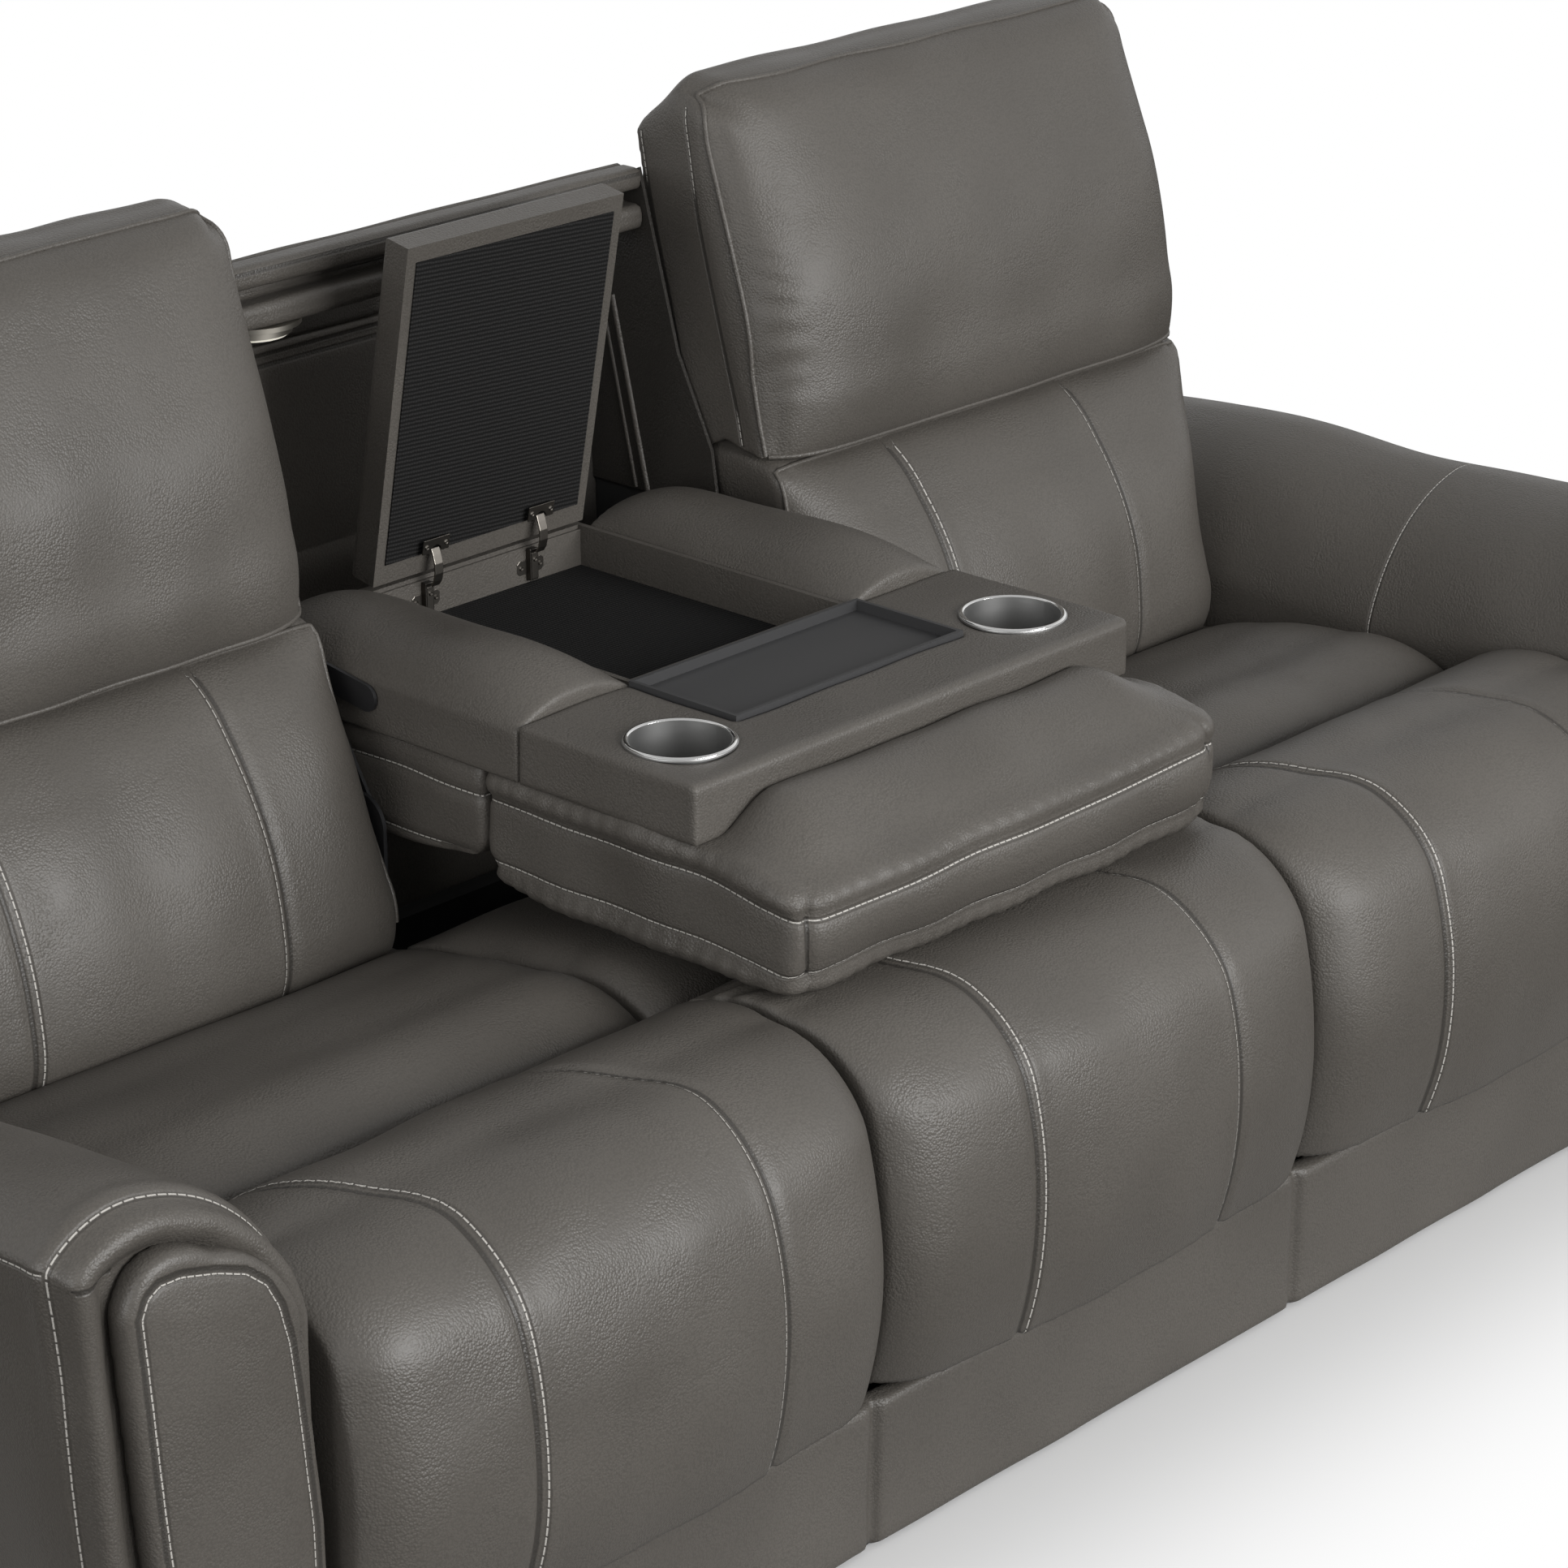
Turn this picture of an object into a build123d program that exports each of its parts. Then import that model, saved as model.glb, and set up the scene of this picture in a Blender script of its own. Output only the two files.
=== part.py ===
from build123d import *
import math
import os

# Power reclining sofa. Millimetres, +Z up, the sofa faces -Y and the middle seat is centred on X = 0.

# Widths
SEAT_HALF = 297.5
SEAT_VALLEY = 8.0
ARM_GAP = 6.5
ARM_FOOT_WIDTH = 160.0
ARM_TOP_WIDTH = 231.0
SEAT_PITCH = 2 * SEAT_HALF + SEAT_VALLEY
ARM_INNER_X = SEAT_PITCH + SEAT_HALF + ARM_GAP
ARM_FOOT_X = ARM_INNER_X + ARM_FOOT_WIDTH
ARM_TOP_X = ARM_INNER_X + ARM_TOP_WIDTH

# Base
GLIDE_HEIGHT = 20.0
GLIDE_RADIUS = 18.0
RAIL_HEIGHT = 100.0
RAIL_THICKNESS = 23.0
REAR_RAIL_Y = 425.0
REAR_RAIL_HEIGHT = 220.0
SKIRT_FRONT_Y = -490.0
SKIRT_THICKNESS = 22.0
SKIRT_HEIGHT = 130.0
TRACK_HEIGHT = 25.0
TRACK_WIDTH = 23.0
RUN_CLEARANCE = 0.4
SEAT_FRAME_HEIGHT = 186.6
RAIL_TOP = GLIDE_HEIGHT + RAIL_HEIGHT
TRACK_TOP = RAIL_TOP + TRACK_HEIGHT
RUNNER_Z = TRACK_TOP + RUN_CLEARANCE
DECK_Z = RUNNER_Z + SEAT_FRAME_HEIGHT
FRONT_RAIL_Y = SKIRT_FRONT_Y + SKIRT_THICKNESS
FRONT_RAIL_BACK_Y = FRONT_RAIL_Y + RAIL_THICKNESS
REAR_RAIL_TOP = GLIDE_HEIGHT + REAR_RAIL_HEIGHT

# Actuators
MOTOR_PLATE_LENGTH = 100.0
MOTOR_LENGTH = 80.0
MOTOR_HEIGHT = 70.0
MOTOR_HALF_WIDTH = 35.0
SCREW_RADIUS = 9.0
SCREW_FRONT_Y = -305.0
SCREW_Z = TRACK_TOP + 45.0
MOTOR_PLATE_Y = REAR_RAIL_Y - 25.0 - MOTOR_PLATE_LENGTH
MOTOR_Y = MOTOR_PLATE_Y + 10.0

# Steel plates and pins
PLATE = 5.0
LINK_PLATE = 4.0
SIDE_CLEARANCE = 0.6
PIN_CLEARANCE = 0.1
SEAT_PLATE_OUT = SEAT_HALF - 6.5
SEAT_PLATE_IN = SEAT_PLATE_OUT - PLATE
LINK_IN = SEAT_HALF + 1.0
LINK_OUT = LINK_IN + LINK_PLATE
LINK_HALF_WIDTH = 11.0
LINK_PIN_RADIUS = 6.0

# Pivots, as (y, z)
BACK_PIVOT = (183.0, 346.0)
HEAD_PIVOT = (215.0, 716.0)
LINK_PIVOT = (-219.0, 180.0)
FOOT_PIVOT = (-320.0, 390.0)
TABLE_PIVOT = (144.0, 512.0)
LID_PIVOT = (300.5, 657.0)
LID_OPEN_ANGLE = 79.4

# Front roll, edge outline and how far its middle stands out
ROLL_FRONT_Y = -508.0
ROLL_BOTTOM_Z = 156.0
ROLL_TOP_Z = 478.0
ROLL_BACK_Y = -434.0
ROLL_CROWN = 36.0
NOSE_REAR_Y = -246.0
NOSE_UNDER_Z = 426.0
BOARD_THICKNESS = 15.0

# Seat cushion
SEAT_FRONT_Y = -240.0
SEAT_REAR_Y = 140.0
MIDDLE_SEAT_REAR_Y = 100.0
SEAT_TOP_Z = 450.0
SEAT_BACK_Z = 394.0
SEAT_CROWN = 12.0

# Back, which leans; LEAN_UP and LEAN_BACK are unit steps along it and behind it
LEAN = math.radians(17.4)
LEAN_UP = (math.sin(LEAN), math.cos(LEAN))
LEAN_BACK = (math.cos(LEAN), -math.sin(LEAN))
BACK_FOOT = (115.0, 399.0)
BACK_DEPTH = 70.0
BACK_BOARD = 22.0
BACK_SHELL = 20.0
LUMBAR_BOTTOM_Z = 400.0
LUMBAR_TOP_Z = 698.0
LUMBAR_CROWN = 50.0
HEAD_TOP_Z = 1047.0
HEAD_CROWN = 62.0
HEAD_BOARD = 18.0
HEAD_BORDER = 30.0
HEAD_REACH = 27.5
HINGE_EAR_X = 200.0

# Drop-down table, folded down
TABLE_GAP = 4.5
TABLE_HALF = SEAT_HALF - TABLE_GAP
TABLE_CUSHION_HALF = TABLE_HALF - 5.0
TABLE_EDGE = 14.0
TAB_FRONT_Y = 195.0
TABLE_BOARD_Z = 600.0
TABLE_BOARD = 12.0
TABLE_TOP_Z = 656.0
BLOCK_FRONT_Y = -271.0
BLOCK_REAR_Y = -54.0
PAD_WIDTH = 147.0
WELL_WALL = 6.0
WELL_FRONT_WALL = 11.0
WELL_REAR_Y = 303.0
WELL_REAR_WALL = 17.0
CUP_INSET = 69.0
CUP_Y = -187.0
CUP_RADIUS = 45.6
CUP_WALL = 1.0
CUP_RIM_RADIUS = 51.3
CUP_DEPTH = 68.0
TRAY_INSET = 140.0
TRAY_FRONT_Y = -187.0
TRAY_DEPTH = 10.0
TRAY_RIM = 4.0
TRAY_WALL = 4.0
LID_LENGTH = 348.0
LID_THICKNESS = 35.0
LINER_MARGIN = 25.0
LINER = 1.6
HINGE_X = 70.0
WELL_HALF = TABLE_HALF - PAD_WIDTH - WELL_WALL
CUP_X = TABLE_HALF - CUP_INSET
TRAY_HALF = TABLE_HALF - TRAY_INSET
TABLE_BOARD_TOP = TABLE_BOARD_Z + TABLE_BOARD
WELL_FRONT_Y = BLOCK_REAR_Y + WELL_FRONT_WALL
TRAY_Z = TABLE_TOP_Z - TRAY_DEPTH
TABLE_REAR_Y = WELL_REAR_Y + WELL_REAR_WALL

# Recess behind the table
STILE_WIDTH = 37.0
STILE_DEPTH = 52.0
STILE_FOOT_Y = 425.0
STILE_SLOPE = 0.04
STILE_TOP_Z = 850.0
CHEEK = 4.0
CHEEK_BOTTOM_Z = 640.0
PANEL_THICKNESS = 14.0
PANEL_BOTTOM_Z = 30.0
REAR_CAP_HEIGHT = 45.0
REAR_CAP_DEPTH = 43.5
BAR_FRONT_Y = 364.0
BAR_BOTTOM_Z = 916.0
BAR_HEIGHT = 25.0
BAR_DEPTH = 28.0
SHELF = 8.0
SHELF_DEPTH = 84.0
TOP_RAIL_RISE = 52.0
TOP_RAIL_HEIGHT = 23.0
LIGHT_X = 184.0
LIGHT_RADIUS = 43.0
LIGHT_FLANGE = 3.0
LIGHT_BODY = 5.0
LENS = 2.0
HEADER_TOP_Z = BAR_BOTTOM_Z + TOP_RAIL_RISE + TOP_RAIL_HEIGHT

# Dividers beside the middle seat
DIVIDER = 4.0
DIVIDER_IN = SEAT_HALF + 2.0
DIVIDER_OUT = DIVIDER_IN + DIVIDER
DIVIDER_STEP_Y = -60.0
TABLE_PIN_RADIUS = 8.0

# Arms and switches
ARM_FRONT_Y = -457.0
ARM_FRONT_TOP_Z = 611.0
ARM_REAR_Y = 395.0
ARM_FRAME_INSET = 45.0
ARM_FRAME_WALL = 15.0
ARM_FRAME_TOP_Z = 470.0
ARM_PAD_THICKNESS = 26.0
SWITCH_Y = -190.0
SWITCH_Z = 480.0
SWITCH_SPACING = 60.0
SWITCH_PLATE = 3.0
ROCKER_HALF_LENGTH = 17.5
ROCKER_HALF_HEIGHT = 10.5
ROCKER_GAP = 0.5

SIDES = (("left", -1), ("right", 1))
parts = {}


def block(x_range, y_range, z_range):
    """Box between two limits on each axis."""
    size = [high - low for low, high in (x_range, y_range, z_range)]
    middle = [(high + low) / 2 for low, high in (x_range, y_range, z_range)]
    return Pos(*middle) * Box(*size)


def outline(*steps):
    """Closed face from corner points; a pair of points is an arc through the first to the second."""
    here = steps[0]
    edges = []
    for step in steps[1:] + (steps[0],):
        if isinstance(step[0], tuple):
            edges.append(ThreePointArc(here, step[0], step[1]))
            here = step[1]
        else:
            edges.append(Line(here, step))
            here = step
    return make_face(edges)


def plate(face, x_low, x_high):
    """A face drawn in (y, z), extruded across X."""
    return extrude(Plane.YZ.offset(x_low) * face, amount=x_high - x_low)


def both(x_centre, inner, outer, make):
    """make(low, high) on both sides of a seat's centre, at the same distance from it."""
    return [make(x_centre + inner, x_centre + outer), make(x_centre - outer, x_centre - inner)]


def bar(start, end, half_width):
    """Flat bar with round ends, drawn in (y, z)."""
    run = (end[0] - start[0], end[1] - start[1])
    middle = ((start[0] + end[0]) / 2, (start[1] + end[1]) / 2)
    turn = math.degrees(math.atan2(run[1], run[0]))
    straight = Pos(*middle) * Rot(0, 0, turn) * Rectangle(math.hypot(*run), 2 * half_width)
    return straight + Pos(*start) * Circle(half_width) + Pos(*end) * Circle(half_width)


def hole(point, radius):
    return Pos(*point) * Circle(radius)


def pin(point, radius, x_low, x_high):
    return plate(hole(point, radius), x_low, x_high)


def on_lean(up, back):
    """Point (y, z) on the leaning back."""
    return tuple(BACK_FOOT[i] + up * LEAN_UP[i] + back * LEAN_BACK[i] for i in (0, 1))


def cushion(x_centre, half_width, profile, stations):
    """Loft of profile(crown) across X; stations are (share of the half width, crown), outermost first."""
    places = [(-share, crown) for share, crown in stations]
    places += [(share, crown) for share, crown in reversed(stations) if share > 0]
    return loft([Plane.YZ.offset(x_centre + share * half_width) * profile(crown) for share, crown in places])


def group(shapes):
    return Compound(children=list(shapes))


# Seat stations: drawn-in ends, full side panels, the two sewn seams, and the crowned middle
ROLL_STATIONS = ((1.0, -0.3), (0.94, 0.2), (0.76, 0.7), (0.49, 0.82), (0.3, 0.97), (0.0, 1.0))
SEAT_STATIONS = ((1.0, -0.8), (0.93, 0.2), (0.6, 0.9), (0.0, 1.0))
LUMBAR_STATIONS = ((1.0, 0.0), (0.93, 0.5), (0.74, 0.85), (0.48, 0.88), (0.3, 0.98), (0.0, 1.0))
HEAD_STATIONS = ((1.0, 0.0), (0.95, 0.5), (0.82, 0.86), (0.4, 0.98), (0.0, 1.0))


def roll_profile(top_crown):
    def profile(k):
        front = ROLL_FRONT_Y - ROLL_CROWN * k
        top = ROLL_TOP_Z + top_crown * k
        return outline(
            (ROLL_BACK_Y, ROLL_BOTTOM_Z),
            (front + 24, ROLL_BOTTOM_Z),
            ((front, ROLL_BOTTOM_Z + 140), (front + 20, ROLL_TOP_Z - 62)),
            ((front + 56 + 6 * k, top - 20), (ROLL_FRONT_Y + 130, top)),
            ((ROLL_FRONT_Y + 200, top + 2), (NOSE_REAR_Y - 16, ROLL_TOP_Z - 12)),
            ((NOSE_REAR_Y - 4, ROLL_TOP_Z - 22), (NOSE_REAR_Y, ROLL_TOP_Z - 36)),
            (NOSE_REAR_Y, NOSE_UNDER_Z),
            (ROLL_BACK_Y + 50, NOSE_UNDER_Z),
            ((ROLL_BACK_Y + 15, NOSE_UNDER_Z - 15), (ROLL_BACK_Y, NOSE_UNDER_Z - 50)),
        )
    return profile


def seat_profile(rear_y):
    def profile(k):
        lift = SEAT_CROWN * k
        return outline(
            (SEAT_FRONT_Y + 14, DECK_Z),
            ((SEAT_FRONT_Y, DECK_Z + 50), (SEAT_FRONT_Y + 16, SEAT_TOP_Z - 14 + lift)),
            ((SEAT_FRONT_Y + 60, SEAT_TOP_Z + lift), (SEAT_FRONT_Y + 130, SEAT_TOP_Z - 4 + lift)),
            ((10, SEAT_TOP_Z - 26 + lift), (MIDDLE_SEAT_REAR_Y - 8, SEAT_BACK_Z)),
            (rear_y, SEAT_BACK_Z - 4),
            (rear_y, DECK_Z),
        )
    return profile


def lumbar_profile(k):
    out = LUMBAR_CROWN * k
    rear_bottom = on_lean((LUMBAR_BOTTOM_Z - on_lean(0, BACK_DEPTH)[1]) / LEAN_UP[1], BACK_DEPTH)
    rear_top = on_lean((LUMBAR_TOP_Z - on_lean(0, BACK_DEPTH)[1]) / LEAN_UP[1], BACK_DEPTH)
    foot = BACK_FOOT[0]
    return outline(
        rear_bottom,
        (foot - 3 - 0.35 * out, LUMBAR_BOTTOM_Z),
        ((foot - 15 - 0.65 * out, LUMBAR_BOTTOM_Z + 25), (foot - 5 - out, LUMBAR_BOTTOM_Z + 70)),
        ((foot + 40 - 1.5 * out, LUMBAR_BOTTOM_Z + 170), (foot + 70 - 0.9 * out, LUMBAR_TOP_Z - 40)),
        ((foot + 80 - 0.2 * out, LUMBAR_TOP_Z - 14), (foot + 108, LUMBAR_TOP_Z)),
        rear_top,
    )


HEAD_REAR_BOTTOM = (HEAD_PIVOT[0] + 80, HEAD_PIVOT[1])
HEAD_REAR_TOP = (HEAD_PIVOT[0] + 163, HEAD_TOP_Z - 42)


def headrest_profile(k):
    out = HEAD_CROWN * k
    bottom = HEAD_PIVOT[1]
    return outline(
        HEAD_REAR_BOTTOM,
        (HEAD_PIVOT[0] - 3 - 0.55 * out, bottom - 6),
        ((HEAD_PIVOT[0] + 9 - out, bottom + 20), (HEAD_PIVOT[0] + 30 - 1.3 * out, bottom + 72)),
        ((HEAD_PIVOT[0] + 58 - 1.55 * out, bottom + 170), (HEAD_PIVOT[0] + 86 - out, HEAD_TOP_Z - 48)),
        ((HEAD_PIVOT[0] + 95 - 0.6 * out, HEAD_TOP_Z - 12), (HEAD_PIVOT[0] + 112, HEAD_TOP_Z)),
        ((HEAD_REAR_TOP[0] - 12, HEAD_TOP_Z - 8), HEAD_REAR_TOP),
    )


def base():
    middle_y = FRONT_RAIL_Y + RAIL_THICKNESS / 2
    rear_y = REAR_RAIL_Y + RAIL_THICKNESS / 2
    width = (-ARM_INNER_X, ARM_INNER_X)
    parts["front_base_rail"] = block(width, (FRONT_RAIL_Y, FRONT_RAIL_BACK_Y), (GLIDE_HEIGHT, RAIL_TOP))
    parts["rear_base_rail"] = block(width, (REAR_RAIL_Y, REAR_RAIL_Y + RAIL_THICKNESS),
                                    (GLIDE_HEIGHT, REAR_RAIL_TOP))
    arm_x = (ARM_INNER_X + ARM_FOOT_X) / 2
    spots = [(x, y) for x in (-ARM_INNER_X + 40, -SEAT_HALF, SEAT_HALF, ARM_INNER_X - 40)
             for y in (middle_y, rear_y)]
    spots += [(s * arm_x, y) for s in (-1, 1) for y in (ARM_FRONT_Y + 60, ARM_REAR_Y - 60)]
    parts["floor_glides"] = group(
        Pos(x, y, GLIDE_HEIGHT / 2) * Cylinder(GLIDE_RADIUS, GLIDE_HEIGHT) for x, y in spots)
    skirts = []
    for centre in (-SEAT_PITCH, 0, SEAT_PITCH):
        skirt = block((centre - SEAT_HALF, centre + SEAT_HALF), (SKIRT_FRONT_Y, FRONT_RAIL_Y),
                      (GLIDE_HEIGHT, GLIDE_HEIGHT + SKIRT_HEIGHT))
        skirts.append(fillet(skirt.edges().group_by(Axis.Y)[0], SKIRT_THICKNESS * 0.4))
    parts["front_skirts"] = group(skirts)

    ear = TABLE_PIVOT
    ear_half = 30
    shoulder_z = DECK_Z
    low_z = RAIL_TOP + 20
    step = DIVIDER_STEP_Y
    low_face = outline((FRONT_RAIL_BACK_Y, GLIDE_HEIGHT), (step, GLIDE_HEIGHT), (step, low_z),
                       (FRONT_RAIL_BACK_Y, low_z))
    tall_face = outline((step, GLIDE_HEIGHT), (REAR_RAIL_Y, GLIDE_HEIGHT), (REAR_RAIL_Y, REAR_RAIL_TOP),
                        (ear[0] + ear_half + 40, shoulder_z), (step, shoulder_z))
    ear_face = outline((ear[0] - ear_half, shoulder_z), (ear[0] + ear_half, shoulder_z),
                       (ear[0] + ear_half, ear[1]),
                       ((ear[0], ear[1] + ear_half), (ear[0] - ear_half, ear[1])))
    plates = [both(0, DIVIDER_IN, DIVIDER_OUT, lambda low, high: plate(face, low, high))
              for face in (low_face, tall_face, ear_face)]
    pins = both(0, TABLE_CUSHION_HALF + 1, DIVIDER_IN, lambda low, high: pin(ear, TABLE_PIN_RADIUS, low, high))
    ears = [tip + stub for tip, stub in zip(plates[2], pins)]
    parts["bay_dividers"] = group(plates[0] + plates[1] + ears)

    tracks = []
    actuators = []
    for _, side in SIDES:
        centre = side * SEAT_PITCH
        track_y = (FRONT_RAIL_Y + 2, REAR_RAIL_Y)
        tracks += both(centre, SEAT_PLATE_IN - TRACK_WIDTH - 1, SEAT_PLATE_IN - 1,
                       lambda low, high: block((low, high), track_y, (RAIL_TOP, TRACK_TOP)))
        motor_plate = block((centre - SEAT_PLATE_IN + 1, centre + SEAT_PLATE_IN - 1),
                            (MOTOR_PLATE_Y, MOTOR_PLATE_Y + MOTOR_PLATE_LENGTH), (TRACK_TOP, TRACK_TOP + PLATE))
        motor = block((centre - MOTOR_HALF_WIDTH, centre + MOTOR_HALF_WIDTH), (MOTOR_Y, MOTOR_Y + MOTOR_LENGTH),
                      (TRACK_TOP + PLATE, TRACK_TOP + PLATE + MOTOR_HEIGHT))
        screw = Pos(centre, (SCREW_FRONT_Y + MOTOR_Y) / 2, SCREW_Z) * Rot(90, 0, 0)
        screw *= Cylinder(SCREW_RADIUS, MOTOR_Y - SCREW_FRONT_Y)
        actuators += [motor_plate, fillet(motor.edges().filter_by(Axis.Y), 12), screw]
    parts["mechanism_tracks"] = group(tracks)
    parts["recline_actuators"] = group(actuators)


def arm_section(y, top):
    """Arm cross-section at one Y: straight inner wall, domed top, outer side that leans out."""
    def outer_x(z):
        share = (z - GLIDE_HEIGHT) / (ARM_FRONT_TOP_Z - 34 - GLIDE_HEIGHT)
        return ARM_FOOT_X + share * (ARM_TOP_X - ARM_FOOT_X)
    inner = ARM_INNER_X
    span = ARM_TOP_X - ARM_INNER_X
    face = outline(
        (outer_x(GLIDE_HEIGHT), GLIDE_HEIGHT),
        (inner, GLIDE_HEIGHT),
        (inner, top - 141),
        ((inner + 0.186 * span, top - 56), (inner + 0.6 * span, top - 3)),
        ((inner + 0.836 * span, top - 7), (outer_x(top - 34), top - 34)),
    )
    return Plane.XZ.offset(-y) * face


ARM_STATIONS = ((0, 0), (170, -9), (340, -22), (510, -18), (680, -20), (852, -40))


def arms():
    sections = [arm_section(ARM_FRONT_Y + step, ARM_FRONT_TOP_Z + rise) for step, rise in ARM_STATIONS]
    frame_box = block((ARM_INNER_X + ARM_FRAME_INSET, ARM_FOOT_X - 30), (ARM_FRONT_Y + 40, ARM_REAR_Y - 40),
                      (GLIDE_HEIGHT, ARM_FRAME_TOP_Z))
    inside = block((ARM_INNER_X + ARM_FRAME_INSET + ARM_FRAME_WALL, ARM_FOOT_X - 30 - ARM_FRAME_WALL),
                   (ARM_FRONT_Y + 40 + ARM_FRAME_WALL, ARM_REAR_Y - 40 - ARM_FRAME_WALL),
                   (GLIDE_HEIGHT, ARM_FRAME_TOP_Z - ARM_FRAME_WALL))
    arm = loft(sections)
    arm = fillet(arm.faces().sort_by(Axis.Y)[0].edges().sort_by(Axis.Z)[1:], 14) - frame_box
    frame = frame_box - inside

    tilt = math.degrees(math.atan2(ARM_TOP_X - ARM_FOOT_X, ARM_FRONT_TOP_Z - 34 - GLIDE_HEIGHT))
    share = (SWITCH_Z - GLIDE_HEIGHT) / (ARM_FRONT_TOP_Z - 34 - GLIDE_HEIGHT)
    switch_x = ARM_FOOT_X + share * (ARM_TOP_X - ARM_FOOT_X)
    place = Pos(switch_x, SWITCH_Y, SWITCH_Z) * Rot(0, tilt, 0)
    window_y = ROCKER_HALF_LENGTH + ROCKER_GAP
    window_z = ROCKER_HALF_HEIGHT + 2 * ROCKER_GAP
    plate_solid = block((0, SWITCH_PLATE), (-SWITCH_SPACING, SWITCH_SPACING), (-20, 20))
    rockers = []
    for step in (-SWITCH_SPACING / 2, SWITCH_SPACING / 2):
        y_window = (step - window_y, step + window_y)
        plate_solid -= block((-1, SWITCH_PLATE + 1), y_window, (-window_z, window_z))
        key = block((-5, 5.5), (step - ROCKER_HALF_LENGTH, step + ROCKER_HALF_LENGTH),
                    (-ROCKER_HALF_HEIGHT, ROCKER_HALF_HEIGHT))
        stub = Pos(0, step, 0) * Rot(90, 0, 0) * Cylinder(1.5, 2 * (ROCKER_HALF_LENGTH + 0.8 * ROCKER_GAP))
        rockers.append(place * (key + stub))
    pocket = block((-10, 1), (-SWITCH_SPACING / 2 - window_y, SWITCH_SPACING / 2 + window_y),
                   (-window_z, window_z))
    arm -= place * pocket
    switch_plate = place * plate_solid

    pad_face = outline(
        (ARM_FOOT_X - 32, GLIDE_HEIGHT + 4), (ARM_INNER_X + 6, GLIDE_HEIGHT + 4), (ARM_INNER_X + 8, 300),
        (ARM_INNER_X + 24, ARM_FRONT_TOP_Z - 131),
        ((ARM_INNER_X + 47, ARM_FRONT_TOP_Z - 59), (ARM_INNER_X + 103, ARM_FRONT_TOP_Z - 37)),
        ((ARM_TOP_X - 66, ARM_FRONT_TOP_Z - 39), (ARM_TOP_X - 42, ARM_FRONT_TOP_Z - 76)))
    pad = extrude(Plane.XZ.offset(-ARM_FRONT_Y) * pad_face, amount=ARM_PAD_THICKNESS)
    pad = fillet(pad.faces().sort_by(Axis.Y)[0].edges(), 10)

    flip = Plane.YZ
    parts["right_arm"] = arm
    parts["left_arm"] = mirror(arm, about=flip)
    parts["arm_frames"] = group([frame, mirror(frame, about=flip)])
    parts["arm_front_pads"] = group([pad, mirror(pad, about=flip)])
    parts["switch_plates"] = group([switch_plate, mirror(switch_plate, about=flip)])
    for name, rocker in zip(("recline", "headrest"), rockers):
        parts["right_" + name + "_rocker"] = rocker
        parts["left_" + name + "_rocker"] = mirror(rocker, about=flip)


def seat_frame(centre):
    low, high = RUNNER_Z, DECK_Z
    pivot_y, pivot_z = BACK_PIVOT
    side_face = outline((-240, low), (120, low), (pivot_y + 22, 300), (pivot_y + 22, pivot_z + 20),
                        (pivot_y - 22, pivot_z + 20), (pivot_y - 33, high), (-240, high))
    solids = both(centre, SEAT_PLATE_IN, SEAT_PLATE_OUT, lambda a, b: plate(side_face, a, b))
    back_pins = both(centre, SEAT_PLATE_OUT, SEAT_HALF - 0.5, lambda a, b: pin(BACK_PIVOT, 7, a, b))
    link_pins = both(centre, SEAT_PLATE_OUT, LINK_OUT, lambda a, b: pin(LINK_PIVOT, LINK_PIN_RADIUS, a, b))
    solids = [side + back + link for side, back, link in zip(solids, back_pins, link_pins)]
    solids += both(centre, SEAT_PLATE_IN - TRACK_WIDTH, SEAT_PLATE_IN,
                   lambda a, b: block((a, b), (-220, 110), (low, low + 18)))
    inner = (centre - SEAT_PLATE_IN, centre + SEAT_PLATE_IN)
    rails = ((-240, -225), (125, 140))
    solids += [block(inner, y_range, (high - 32, high)) for y_range in rails]
    slats = (-200, -100, 0, 100, 200)
    solids += [block((centre + x - 10, centre + x + 10), (-225, 125), (high - 5, high)) for x in slats]
    rear_tube = pin((110, 260), 12, *inner)
    front_tube = pin((-200, 260), 12, *inner)
    nut = block((centre - 16, centre + 16), (-216, -184), (SCREW_Z - 18, 260))
    nut -= Pos(centre, -200, SCREW_Z) * Rot(90, 0, 0) * Cylinder(SCREW_RADIUS + PIN_CLEARANCE, 40)
    return group(solids + [rear_tube, front_tube + nut])


def back_frame(centre):
    bracket_out = SEAT_PLATE_OUT + SIDE_CLEARANCE + PLATE
    bracket_in = SEAT_PLATE_OUT + SIDE_CLEARANCE
    slab_face = outline(on_lean(0, BACK_DEPTH), on_lean(0, BACK_DEPTH + BACK_BOARD),
                        on_lean(318, BACK_DEPTH + BACK_BOARD), on_lean(318, BACK_DEPTH))
    slab = plate(slab_face, centre - bracket_in, centre + bracket_in)
    ear_face = bar(on_lean(310, BACK_DEPTH + 12), HEAD_PIVOT, 10) - hole(HEAD_PIVOT, 4 + PIN_CLEARANCE)
    for ear in both(centre, HINGE_EAR_X - 2, HINGE_EAR_X + 2, lambda a, b: plate(ear_face, a, b)):
        slab += ear
    side_face = bar(BACK_PIVOT, on_lean(120, BACK_DEPTH + 11), 10) - hole(BACK_PIVOT, 7 + PIN_CLEARANCE)
    return group([slab] + both(centre, bracket_in, bracket_out, lambda a, b: plate(side_face, a, b)))


def back_shell(centre):
    near = BACK_DEPTH + BACK_BOARD
    face = outline(on_lean(2, near), on_lean(2, near + BACK_SHELL - 8),
                   (on_lean(160, near + BACK_SHELL), on_lean(316, near + BACK_SHELL - 8)), on_lean(316, near))
    shell = plate(face, centre - SEAT_PLATE_OUT, centre + SEAT_PLATE_OUT)
    return fillet(shell.edges().filter_by(Axis.X).sort_by(Axis.Y)[-1], 6)


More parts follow.
